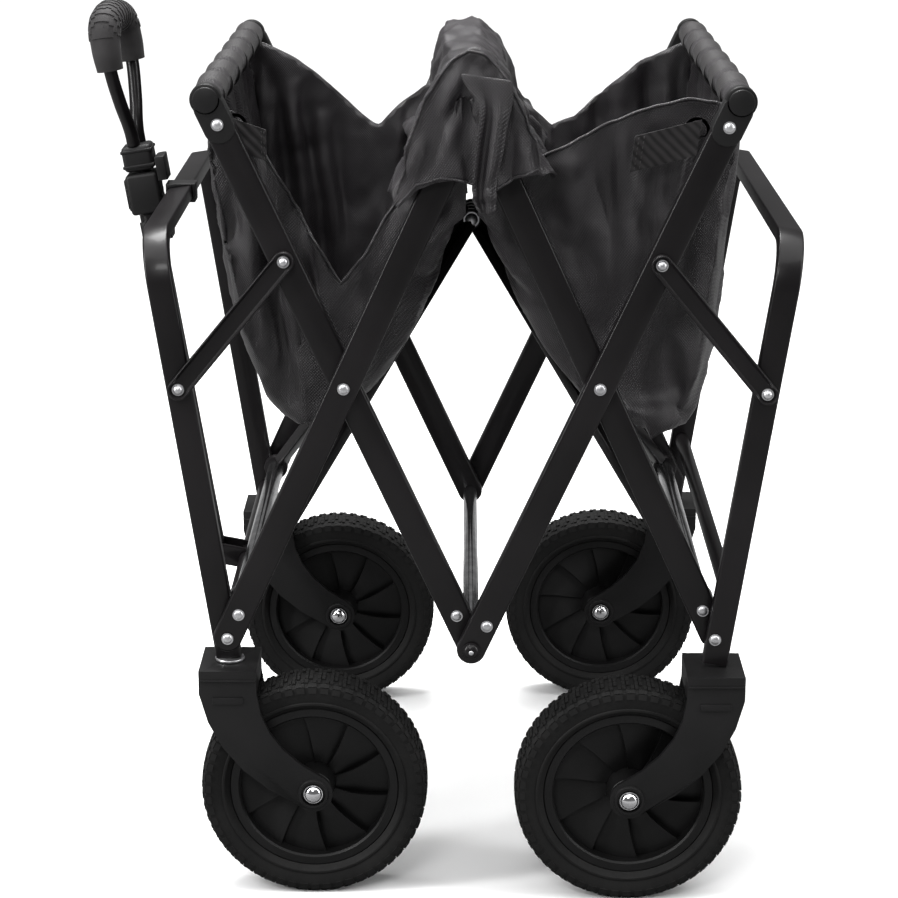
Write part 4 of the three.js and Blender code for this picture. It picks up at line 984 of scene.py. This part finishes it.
# Lengthwise outlines of each lobe: the panel and floor run from the rail down to the tip and up to the
# ridge, and each side wall is closed by its hem.
WALL_Y = 0.207
lobe_lines = {
    "front": {
        "run": local([(-226, 468), (-219, 440), (-211, 380), (-203, 312), (-189, 262), (-160, 212),
                      (-140, 182),
                      (-112, 232), (-82, 288), (-48, 338), (-5, 374)]),
        "near": local([(-200, 462), (-170, 423), (-138, 364), (-111, 316), (-92, 340), (-66, 385),
                       (-36, 418), (-5, 420)]),
        "far": local([(-208, 470), (-170, 452), (-140, 428), (-110, 400), (-92, 388), (-72, 408),
                      (-40, 430), (-5, 436)]),
    },
    "rear": {
        "run": local([(226, 468), (217, 430), (209, 368), (204, 312), (200, 250), (186, 215), (155, 174),
                      (114, 262), (80, 302), (48, 336), (5, 374)]),
        "near": local([(204, 470), (179, 474), (151, 467), (116, 455), (85, 438), (48, 420),
                       (24, 418), (5, 420)]),
        "far": local([(212, 470), (168, 452), (136, 426), (104, 398), (80, 388), (62, 404),
                      (36, 430), (5, 436)]),
    },
}


def fold_on(x0, z0, x1, z1, y0, y1, wide, high):
    """A fold between two places given in millimetres from the keel."""
    return (at(x0, y0, z0), at(x1, y1, z1), wide / 1000, high / 1000)


lobe_folds = {"front": [], "rear": []}
for out in (-1, 1):
    y = out * 207
    lobe_folds["rear"] += [
        fold_on(126, 462, 124, 268, y, y, 15, 4.5), fold_on(152, 448, 134, 236, y, y, 11, -3.5),
        fold_on(178, 452, 160, 210, y, y, 12, 4.5), fold_on(196, 430, 186, 262, y, y, 9, -3.0),
        fold_on(82, 428, 118, 300, y, y, 18, 3.5), fold_on(30, 412, 104, 330, y, y, 16, -3.0),
        fold_on(56, 372, 112, 338, y, y, 8, 2.5), fold_on(24, 408, 92, 420, y, y, 9, 3.0)]
    lobe_folds["front"] += [
        fold_on(-196, 440, -176, 262, y, y, 13, 4.5), fold_on(-184, 436, -154, 226, y, y, 10, -3.5),
        fold_on(-168, 420, -144, 214, y, y, 12, 4.5), fold_on(-150, 396, -128, 232, y, y, 9, -3.0),
        fold_on(-28, 410, -96, 316, y, y, 15, 3.5), fold_on(-58, 392, -118, 262, y, y, 10, -3.0),
        fold_on(-12, 402, -72, 372, y, y, 9, 2.5)]
for y in (-168, -104, -30, 62, 128, 180):
    lobe_folds["rear"] += [fold_on(222, 462, 204, 250, y, y + 16, 13, 4.0),
                           fold_on(196, 250, 160, 184, y + 16, y + 6, 12, 3.5),
                           fold_on(36, 340, 122, 246, y + 10, y - 14, 13, 4.0)]
    lobe_folds["front"] += [fold_on(-222, 462, -200, 290, y, y + 14, 13, 4.0),
                            fold_on(-196, 280, -150, 196, y + 14, y + 4, 12, 3.5),
                            fold_on(-36, 345, -116, 228, y + 12, y - 12, 13, 4.0)]


def lay_over_arms(piece, cover=0.013, slope=2.4):
    """Lifts the cloth that sank below the floor arms, so that it rests on them and falls away evenly."""
    for vertex in piece.data.vertices:
        for start, stop in floor_arm_lines:
            across = Vector((stop.x - start.x, stop.y - start.y))
            off = Vector((vertex.co.x - start.x, vertex.co.y - start.y))
            share = max(0.0, min(1.0, off.dot(across) / across.length_squared))
            aside = (off - across * share).length
            arm_z = start.z + (stop.z - start.z) * share
            vertex.co.z = max(vertex.co.z, arm_z + cover - slope * max(0.0, aside - 0.009))


def lobe(end):
    lines = lobe_lines[end]
    mesh = bmesh.new()
    rows = {}
    for side, y in (("near", -WALL_Y), ("far", WALL_Y)):
        run = [mesh.verts.new((x, y, z)) for x, z in lines["run"]]
        hem = [mesh.verts.new((x, y, z)) for x, z in lines[side]]
        mesh.faces.new(run + hem[::-1])
        rows[side] = run
    for k in range(len(lines["run"]) - 1):
        mesh.faces.new((rows["near"][k], rows["near"][k + 1], rows["far"][k + 1], rows["far"][k]))
    flat_area = sum(f.calc_area() for f in mesh.faces)
    cut_up(mesh, CLOTH_CELL)
    bmesh.ops.recalc_face_normals(mesh, faces=mesh.faces)
    for vert in mesh.verts:
        ripple = math.sin(vert.co.x * 130 + vert.co.z * 47) + math.sin(vert.co.z * 90 - vert.co.y * 61)
        vert.co += vert.normal * 0.0016 * ripple
    piece = sheet_of(f"basket_{end}_lobe", mesh)
    top = lines["run"][0]

    def held(co):
        if near_line(co, top, (top[0], top[1] - 0.016)) < 0.022 and co.z > top[1] - 0.018:
            return 1.0
        if abs(co.x - KEEL.x) < 0.016:
            return 1.0
        side = "near" if co.y < -WALL_Y * 0.9 else "far" if co.y > WALL_Y * 0.9 else None
        if side:
            hem = lines[side]
            gap = min(near_line(co, a, b) for a, b in zip(hem, hem[1:]))
            if gap < 0.006:
                return 0.75
        if co.z < lines["run"][6][1] + 0.012:
            return 0.6
        return 0.0

    settle(piece, held, 0.045, 26)
    refine(piece)

    def whole(co):
        """1 over the open cloth, falling to nothing next to the rail."""
        return max(0.0, min(1.0, (top[1] - 0.012 - co.z) / 0.02))

    crease(piece, [(a, b, wide, high * 1.35) for a, b, wide, high in lobe_folds[end]], keep=whole)
    lay_over_arms(piece)
    limit = WALL_Y + 0.014
    for vertex in piece.data.vertices:
        vertex.co.y = max(-limit, min(limit, vertex.co.y))
    return piece, flat_area


for end in ENDS:
    piece, lobe_area = lobe(end)
    dress(piece)
    hems = [seam_tube(f"basket_{end}_hem_{side}", piece,
                      [Vector((x, y, z)) for x, z in lobe_lines[end][side]], 0.0013)
            for side, y in (("near", -WALL_Y), ("far", WALL_Y))]
    thicken(piece)
    toward = 1 if end == "front" else -1
    for hung in [piece, *hems]:
        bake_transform(hung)
    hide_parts(f"basket_{end}")


# The middle of the basket rises over the top centre on both sides and hangs down outside the arms
# in a short flap, with a low saddle between. It is one sheet, gathered and creased.
NEAR_FLAP_HEM = [(-61, 392), (-46, 409), (-26, 415), (-4, 412), (16, 404), (36, 416), (56, 423)]
FAR_FLAP_HEM = [(-36, 396), (-4, 394), (30, 390)]


def ridge_sheet():
    sections = [
        (-0.2575, [(-66, 402), (-56, 444), (-39, 483), (-19, 513), (-4, 521), (11, 518), (22, 507), (38, 479),
                   (53, 452), (66, 422)]),
        (-0.215, [(-68, 396), (-55, 440), (-38, 478), (-20, 503), (-4, 510), (11, 508), (23, 498), (38, 472),
                  (54, 444), (68, 410)]),
        (-0.13, [(-66, 380), (-54, 422), (-38, 460), (-22, 486), (-6, 494), (9, 492), (24, 482), (38, 456),
                 (54, 424), (68, 386)]),
        (0.0, [(-62, 372), (-50, 412), (-38, 448), (-22, 474), (-8, 482), (8, 480), (24, 470), (38, 446),
               (54, 412), (68, 374)]),
        (0.13, [(-62, 376), (-48, 418), (-37, 456), (-23, 480), (-8, 486), (8, 483), (24, 474), (38, 450),
                (56, 412), (72, 374)]),
        (0.215, [(-66, 392), (-46, 428), (-37, 462), (-24, 486), (-6, 490), (10, 488), (26, 474), (38, 450),
                 (56, 410), (76, 382)]),
        (0.2575, [(-64, 394), (-44, 430), (-37, 462), (-24, 486), (-4, 489), (12, 486), (28, 473), (40, 448),
                  (57, 409), (76, 384)]),
    ]
    mesh = bmesh.new()
    rows = []
    for y, points in sections:
        rows.append([mesh.verts.new((KEEL.x + x / 1000, y, KEEL.z + z / 1000)) for x, z in points])
    for a, b in zip(rows, rows[1:]):
        for k in range(len(a) - 1):
            mesh.faces.new((a[k], a[k + 1], b[k + 1], b[k]))
    for row, y, hem in ((rows[0], -0.2595, NEAR_FLAP_HEM), (rows[-1], 0.2595, FAR_FLAP_HEM)):
        low = [mesh.verts.new((KEEL.x + x / 1000, y, KEEL.z + z / 1000)) for x, z in hem]
        mesh.faces.new(row + low[::-1])
    area = sum(f.calc_area() for f in mesh.faces)
    cut_up(mesh, RIDGE_CELL)
    bmesh.ops.recalc_face_normals(mesh, faces=mesh.faces)
    for vert in mesh.verts:
        ripple = math.sin(vert.co.x * 210 + vert.co.z * 35) + math.sin(vert.co.z * 120 + vert.co.y * 85)
        vert.co += vert.normal * 0.0015 * ripple
    piece = sheet_of("basket_ridge", mesh)

    def held(co):
        x, z = co.x - KEEL.x, co.z - KEEL.z
        if abs(co.y) > 0.20 and abs(x - 0.004) < 0.016 and z > 0.44:
            return 1.0
        if z > 0.455:
            return 0.42
        if abs(co.y) < 0.25 and abs(x) > 0.058:
            return 0.5
        if abs(co.y) > 0.25 and z < 0.42:
            return 0.3
        return 0.06

    settle(piece, held, 0.05, 22)
    refine(piece)
    folds = [
        fold_on(-6, 512, -58, 404, -260, -260, 9, 3.5), fold_on(-22, 496, -44, 414, -260, -260, 8, -3.0),
        fold_on(2, 496, -30, 420, -260, -260, 7, 3.0), fold_on(26, 498, 44, 428, -260, -260, 8, 3.0),
        fold_on(10, 506, 24, 430, -260, -260, 7, -3.0), fold_on(36, 478, 60, 428, -260, -260, 6, 2.5),
        fold_on(-8, 512, 12, 502, -261, -261, 9, -6.0),
        fold_on(-24, 500, 30, 486, -214, -150, 8, 4.0), fold_on(26, 494, -26, 478, -170, -70, 9, 4.5),
        fold_on(-30, 474, 30, 470, -60, 30, 9, 4.5), fold_on(32, 470, -30, 478, 40, 130, 9, 4.5),
        fold_on(-28, 480, 26, 474, 150, 220, 8, 4.0), fold_on(-40, 452, -60, 392, -180, -110, 12, 5.0),
        fold_on(-42, 440, -60, 384, -40, 20, 12, 5.0), fold_on(-40, 446, -58, 388, 100, 160, 12, 5.0),
        fold_on(40, 452, 66, 392, -190, -120, 12, 5.0), fold_on(42, 440, 66, 384, -50, 30, 12, 5.0),
        fold_on(42, 440, 70, 384, 110, 170, 12, 5.0), fold_on(48, 462, 70, 400, -240, -180, 9, 4.0)]
    crease(piece, folds, crumple=0.0026)
    return piece, area


ridge, ridge_area = ridge_sheet()
ARM_END_CLEAR = 0.0032
for vertex in ridge.data.vertices:
    from_centre = abs(vertex.co.x - top_centre[0])
    above = vertex.co.z > top_centre[1] - 0.01
    if above and 0.215 < abs(vertex.co.y) < 0.258 and from_centre < TUBE_WIDE / 2 + ARM_END_CLEAR:
        round_end = math.sqrt((TUBE_WIDE / 2 + ARM_END_CLEAR) ** 2 - from_centre ** 2)
        vertex.co.z = max(vertex.co.z, top_centre[1] + round_end)
for vertex in ridge.data.vertices:
    if abs(vertex.co.y) > 0.2525:
        out = math.copysign(1, vertex.co.y)
        vertex.co.y = out * max(0.2565, min(0.2715, abs(vertex.co.y)))
dress(ridge)
arch = [at(x, -259, z) for x, z in ((-62, 402), (-54, 440), (-38, 480), (-18, 511), (-4, 519), (11, 516),
                                    (22, 505), (38, 476), (54, 448), (64, 424))]
flap_hem = [at(x, -260, z) for x, z in ((-61, 393), *NEAR_FLAP_HEM[1:])]
for seam, line in (("arch", arch), ("flap_hem", flap_hem)):
    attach(seam_tube(f"basket_ridge_{seam}", ridge, line, 0.0012), "peak")
thicken(ridge)
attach(ridge, "peak")
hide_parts("basket_peak")


# Black webbing, 34 mm wide, is wound round the two top rails over a plain sleeve of the same cloth, so
# that smooth and ribbed stretches take turns along each rail.
def webbing_finish(name, rib_axis, ribs=520):
    finish, nodes, links, shader, place = start_finish(name, sheen=0.05, specular=0.3)
    shader.inputs["Sheen Roughness"].default_value = 0.4
    broad = noise_layer(nodes, links, 40, 3, place)
    rib = nodes.new("ShaderNodeTexWave")
    rib.bands_direction = rib_axis
    rib.inputs["Scale"].default_value = ribs / 6.2832
    rib.inputs["Distortion"].default_value = 0.4
    links.new(place, rib.inputs["Vector"])
    fine = noise_layer(nodes, links, 1500, 2, place)
    both = add_share(nodes, links, fine, 0.35, rib.outputs["Fac"])
    shades = ramp_between(nodes, links, both, (0.004, 0.0036, 0.0038), (0.022, 0.020, 0.021), (0.1, 1.2))
    links.new(shades, shader.inputs["Base Color"])
    links.new(spread(nodes, links, broad, 0.5, 0.7), shader.inputs["Roughness"])
    raise_surface(nodes, links, shader, both, 0.0005, 0.9)
    return finish


WEBBING_ALONG = webbing_finish("webbing_ribs_along_rail", "Y")
WEBBING_UP = webbing_finish("webbing_ribs_on_wall", "DIAGONAL", 420)

for end in ENDS:
    x, z = rail[end]
    inside = 0.2225 if end == "front" else 0.2355
    mesh = bmesh.new()
    bmesh.ops.create_cone(mesh, cap_ends=True, segments=40, radius1=0.0121, radius2=0.0121,
                          depth=2 * inside)
    walls = [e for e in mesh.edges if abs(e.verts[0].co.z - e.verts[1].co.z) > 0.01]
    bmesh.ops.subdivide_edges(mesh, edges=walls, cuts=96, use_grid_fill=True)
    for vert in mesh.verts:
        if abs(vert.co.z) < inside - 0.002:
            swell = 1 + 0.035 * math.sin(vert.co.z * 260) + 0.02 * math.sin(
                3 * math.atan2(vert.co.y, vert.co.x) + vert.co.z * 90)
            vert.co.x *= swell
            vert.co.y *= swell
    bmesh.ops.rotate(mesh, verts=mesh.verts, matrix=Matrix.Rotation(math.pi / 2, 3, "X"))
    bmesh.ops.translate(mesh, verts=mesh.verts, vec=(x, 0, z))
    finish_piece(f"{end}_rail_sleeve", mesh, CLOTH, f"{end}_rail_arms", smooth_below=50)
    mesh = bmesh.new()
    for middle in (-0.185, -0.112, -0.040, 0.040, 0.112, 0.185):
        half = 0.017
        band = bmesh.ops.create_cone(mesh, cap_ends=False, segments=48, radius1=0.0137, radius2=0.0135,
                                     depth=2 * half)["verts"]
        rims = [e for e in {e for v in band for e in v.link_edges} if e.is_boundary]
        for edge_loop in (1, -1):
            loop = [e for e in rims if all(v.co.z * edge_loop > 0 for v in e.verts)]
            turned = bmesh.ops.extrude_edge_only(mesh, edges=loop)["geom"]
            lip = verts_in(turned)
            bmesh.ops.scale(mesh, verts=lip, vec=(0.90, 0.90, 1))
            band += lip
        bmesh.ops.rotate(mesh, verts=band, matrix=Matrix.Rotation(math.radians(6), 3, "X"))
        bmesh.ops.rotate(mesh, verts=band, matrix=Matrix.Rotation(math.pi / 2, 3, "X"))
        bmesh.ops.translate(mesh, verts=band, vec=(x, middle, z))
    finish_piece(f"{end}_rail_bands", mesh, WEBBING_ALONG, f"{end}_rail_arms", smooth_below=50)


# Flat webbing tabs run from a wire D-ring under each near and far rail cap down onto the side wall,
# folded over and sewn with two rows of stitches.
def ribbon(mesh, rows, thickness, columns=6):
    """rows: (middle, half width across, fold depth) with the middle and the across as vectors."""
    grid = []
    for centre, across, depth in rows:
        row = []
        for k in range(columns + 1):
            share = k / columns * 2 - 1
            fold = Vector((0, -depth * math.sin(share * math.pi * 1.5), 0))
            row.append(mesh.verts.new(Vector(centre) + Vector(across) * share + fold))
        grid.append(row)
    faces = [mesh.faces.new((a[k], a[k + 1], b[k + 1], b[k]))
             for a, b in zip(grid, grid[1:]) for k in range(columns)]
    grown = bmesh.ops.extrude_face_region(mesh, geom=faces)["geom"]
    bmesh.ops.translate(mesh, verts=verts_in(grown),
                        vec=(0, thickness, 0))


THREAD = moulded("dark_thread", (0.02, 0.0185, 0.019), (0.05, 0.047, 0.048), 0.6, grain=2500)


def stitches(name, lines, body, spacing=0.0042, long=0.0027, thick=0.00045):
    """Short raised stitches along each line of points."""
    mesh = bmesh.new()
    for line in lines:
        left = 0.0
        for a, b in zip(line, line[1:]):
            run = Vector(b) - Vector(a)
            while left < run.length:
                stitch = bmesh.ops.create_icosphere(mesh, subdivisions=1, radius=1.0)["verts"]
                bmesh.ops.scale(mesh, verts=stitch, vec=(thick, thick, long / 2))
                bmesh.ops.rotate(mesh, verts=stitch, matrix=run.to_track_quat("Z", "Y").to_matrix())
                bmesh.ops.translate(mesh, verts=stitch, vec=Vector(a) + run.normalized() * left)
                left += spacing
            left -= run.length
    return finish_piece(name, mesh, THREAD, body, smooth_below=80)


def d_ring(mesh, centre, radius, wire):
    circle = bmesh.ops.create_circle(mesh, segments=12, radius=wire)["verts"]
    bmesh.ops.translate(mesh, verts=circle, vec=(radius, 0, 0))
    edges = list({e for v in circle for e in v.link_edges})
    bmesh.ops.rotate(mesh, verts=circle, matrix=Matrix.Rotation(math.pi / 2, 3, "X"), cent=(radius, 0, 0))
    bmesh.ops.spin(mesh, geom=circle + edges, cent=(0, 0, 0), axis=(0, 1, 0), angle=2 * math.pi,
                   steps=28, use_merge=True)
    verts = [v for v in mesh.verts if abs(v.co.x) < radius + 2 * wire and abs(v.co.z) < radius + 2 * wire
             and abs(v.co.y) < 2 * wire]
    for vert in verts:
        if vert.co.z < -radius * 0.45:
            vert.co.z = -radius * 0.45 + (vert.co.z + radius * 0.45) * 0.25
    bmesh.ops.translate(mesh, verts=verts, vec=centre)


for end in ENDS:
    toward = -1 if end == "front" else 1
    mesh, ring_mesh, seams = bmesh.new(), bmesh.new(), []
    for out in (-1, 1):
        y = out * 223.2
        top, low, across = {
            ("rear", -1): ((188, 443), (133, 429), (2, 15)), ("rear", 1): ((198, 436), (150, 410), (6, 15)),
            ("front", -1): ((-199, 446), (-171, 436), (0, 13)),
            ("front", 1): ((-190, 440), (-160, 418), (-3, 13)),
        }[end, out]
        ax, az = across
        rows = []
        for k in range(9):
            share = k / 8
            cx = top[0] + (low[0] - top[0]) * share
            cz = top[1] + (low[1] - top[1]) * share
            rows.append((at(cx, y, cz), Vector((ax, 0, az)) / 1000, 0.0004 * math.sin(share * 9)))
        ribbon(mesh, rows, 0.0014 * -out)
        for share in (0.86, 0.94):
            cx, cz = top[0] + (low[0] - top[0]) * share, top[1] + (low[1] - top[1]) * share
            seams.append([at(cx - ax * 0.85, y + out * 0.9, cz - az * 0.85),
                          at(cx + ax * 0.85, y + out * 0.9, cz + az * 0.85)])
        d_ring(ring_mesh, at(top[0] - toward * 2, y - out * 1.0, top[1] + 6), 0.0095, 0.0014)
    finish_piece(f"{end}_webbing_tabs", mesh, WEBBING_UP, f"{end}_rail_arms", smooth_below=50)
    finish_piece(f"{end}_d_rings", ring_mesh, ZINC, f"{end}_rail_arms", smooth_below=80)
    stitches(f"{end}_tab_stitches", seams, f"{end}_rail_arms")


# The strap hangs from the near end of the ridge: a loop of the same cloth, hemmed where it is sewn on
# and gathered into a soft twisted end. It is pulled up to fold the wagon.
mesh = bmesh.new()
strap_rows = []
for z, x_left, x_right, fold in ((499, -10, 32, 0.0004), (491, -8, 33.5, 0.0008), (482, 0, 33, 0.0018),
                                 (471, 6, 31, 0.0030), (456, 4, 28, 0.0034), (440, 2, 26, 0.0036),
                                 (426, 1, 23, 0.0040), (414, 0, 20, 0.0036), (408, -1, 21, 0.0020),
                                 (404, 1, 19, 0.0040), (399, -1, 21, 0.0022), (395, 2, 19, 0.0038),
                                 (390, 3, 20, 0.0020), (386, 7, 16, 0.0016)):
    hang = 2.5 * math.sin((500 - z) / 40)
    twist = 1.6 * math.cos(z * 0.9) if z < 410 else 0
    tilt = -0.003 if z > 470 else 0.0015 * math.sin(z / 9)
    strap_rows.append((at((x_left + x_right) / 2, -266 - hang - twist, z),
                       Vector(((x_right - x_left) / 2000, 0, tilt)), fold))
ribbon(mesh, strap_rows, 0.0024, columns=14)
strap = finish_piece("pull_strap_cloth", mesh, CLOTH, "peak", ("pull_strap",), smooth_below=70)
strap.modifiers.new("soften", "SUBSURF").levels = 2
strap.modifiers["soften"].render_levels = 2
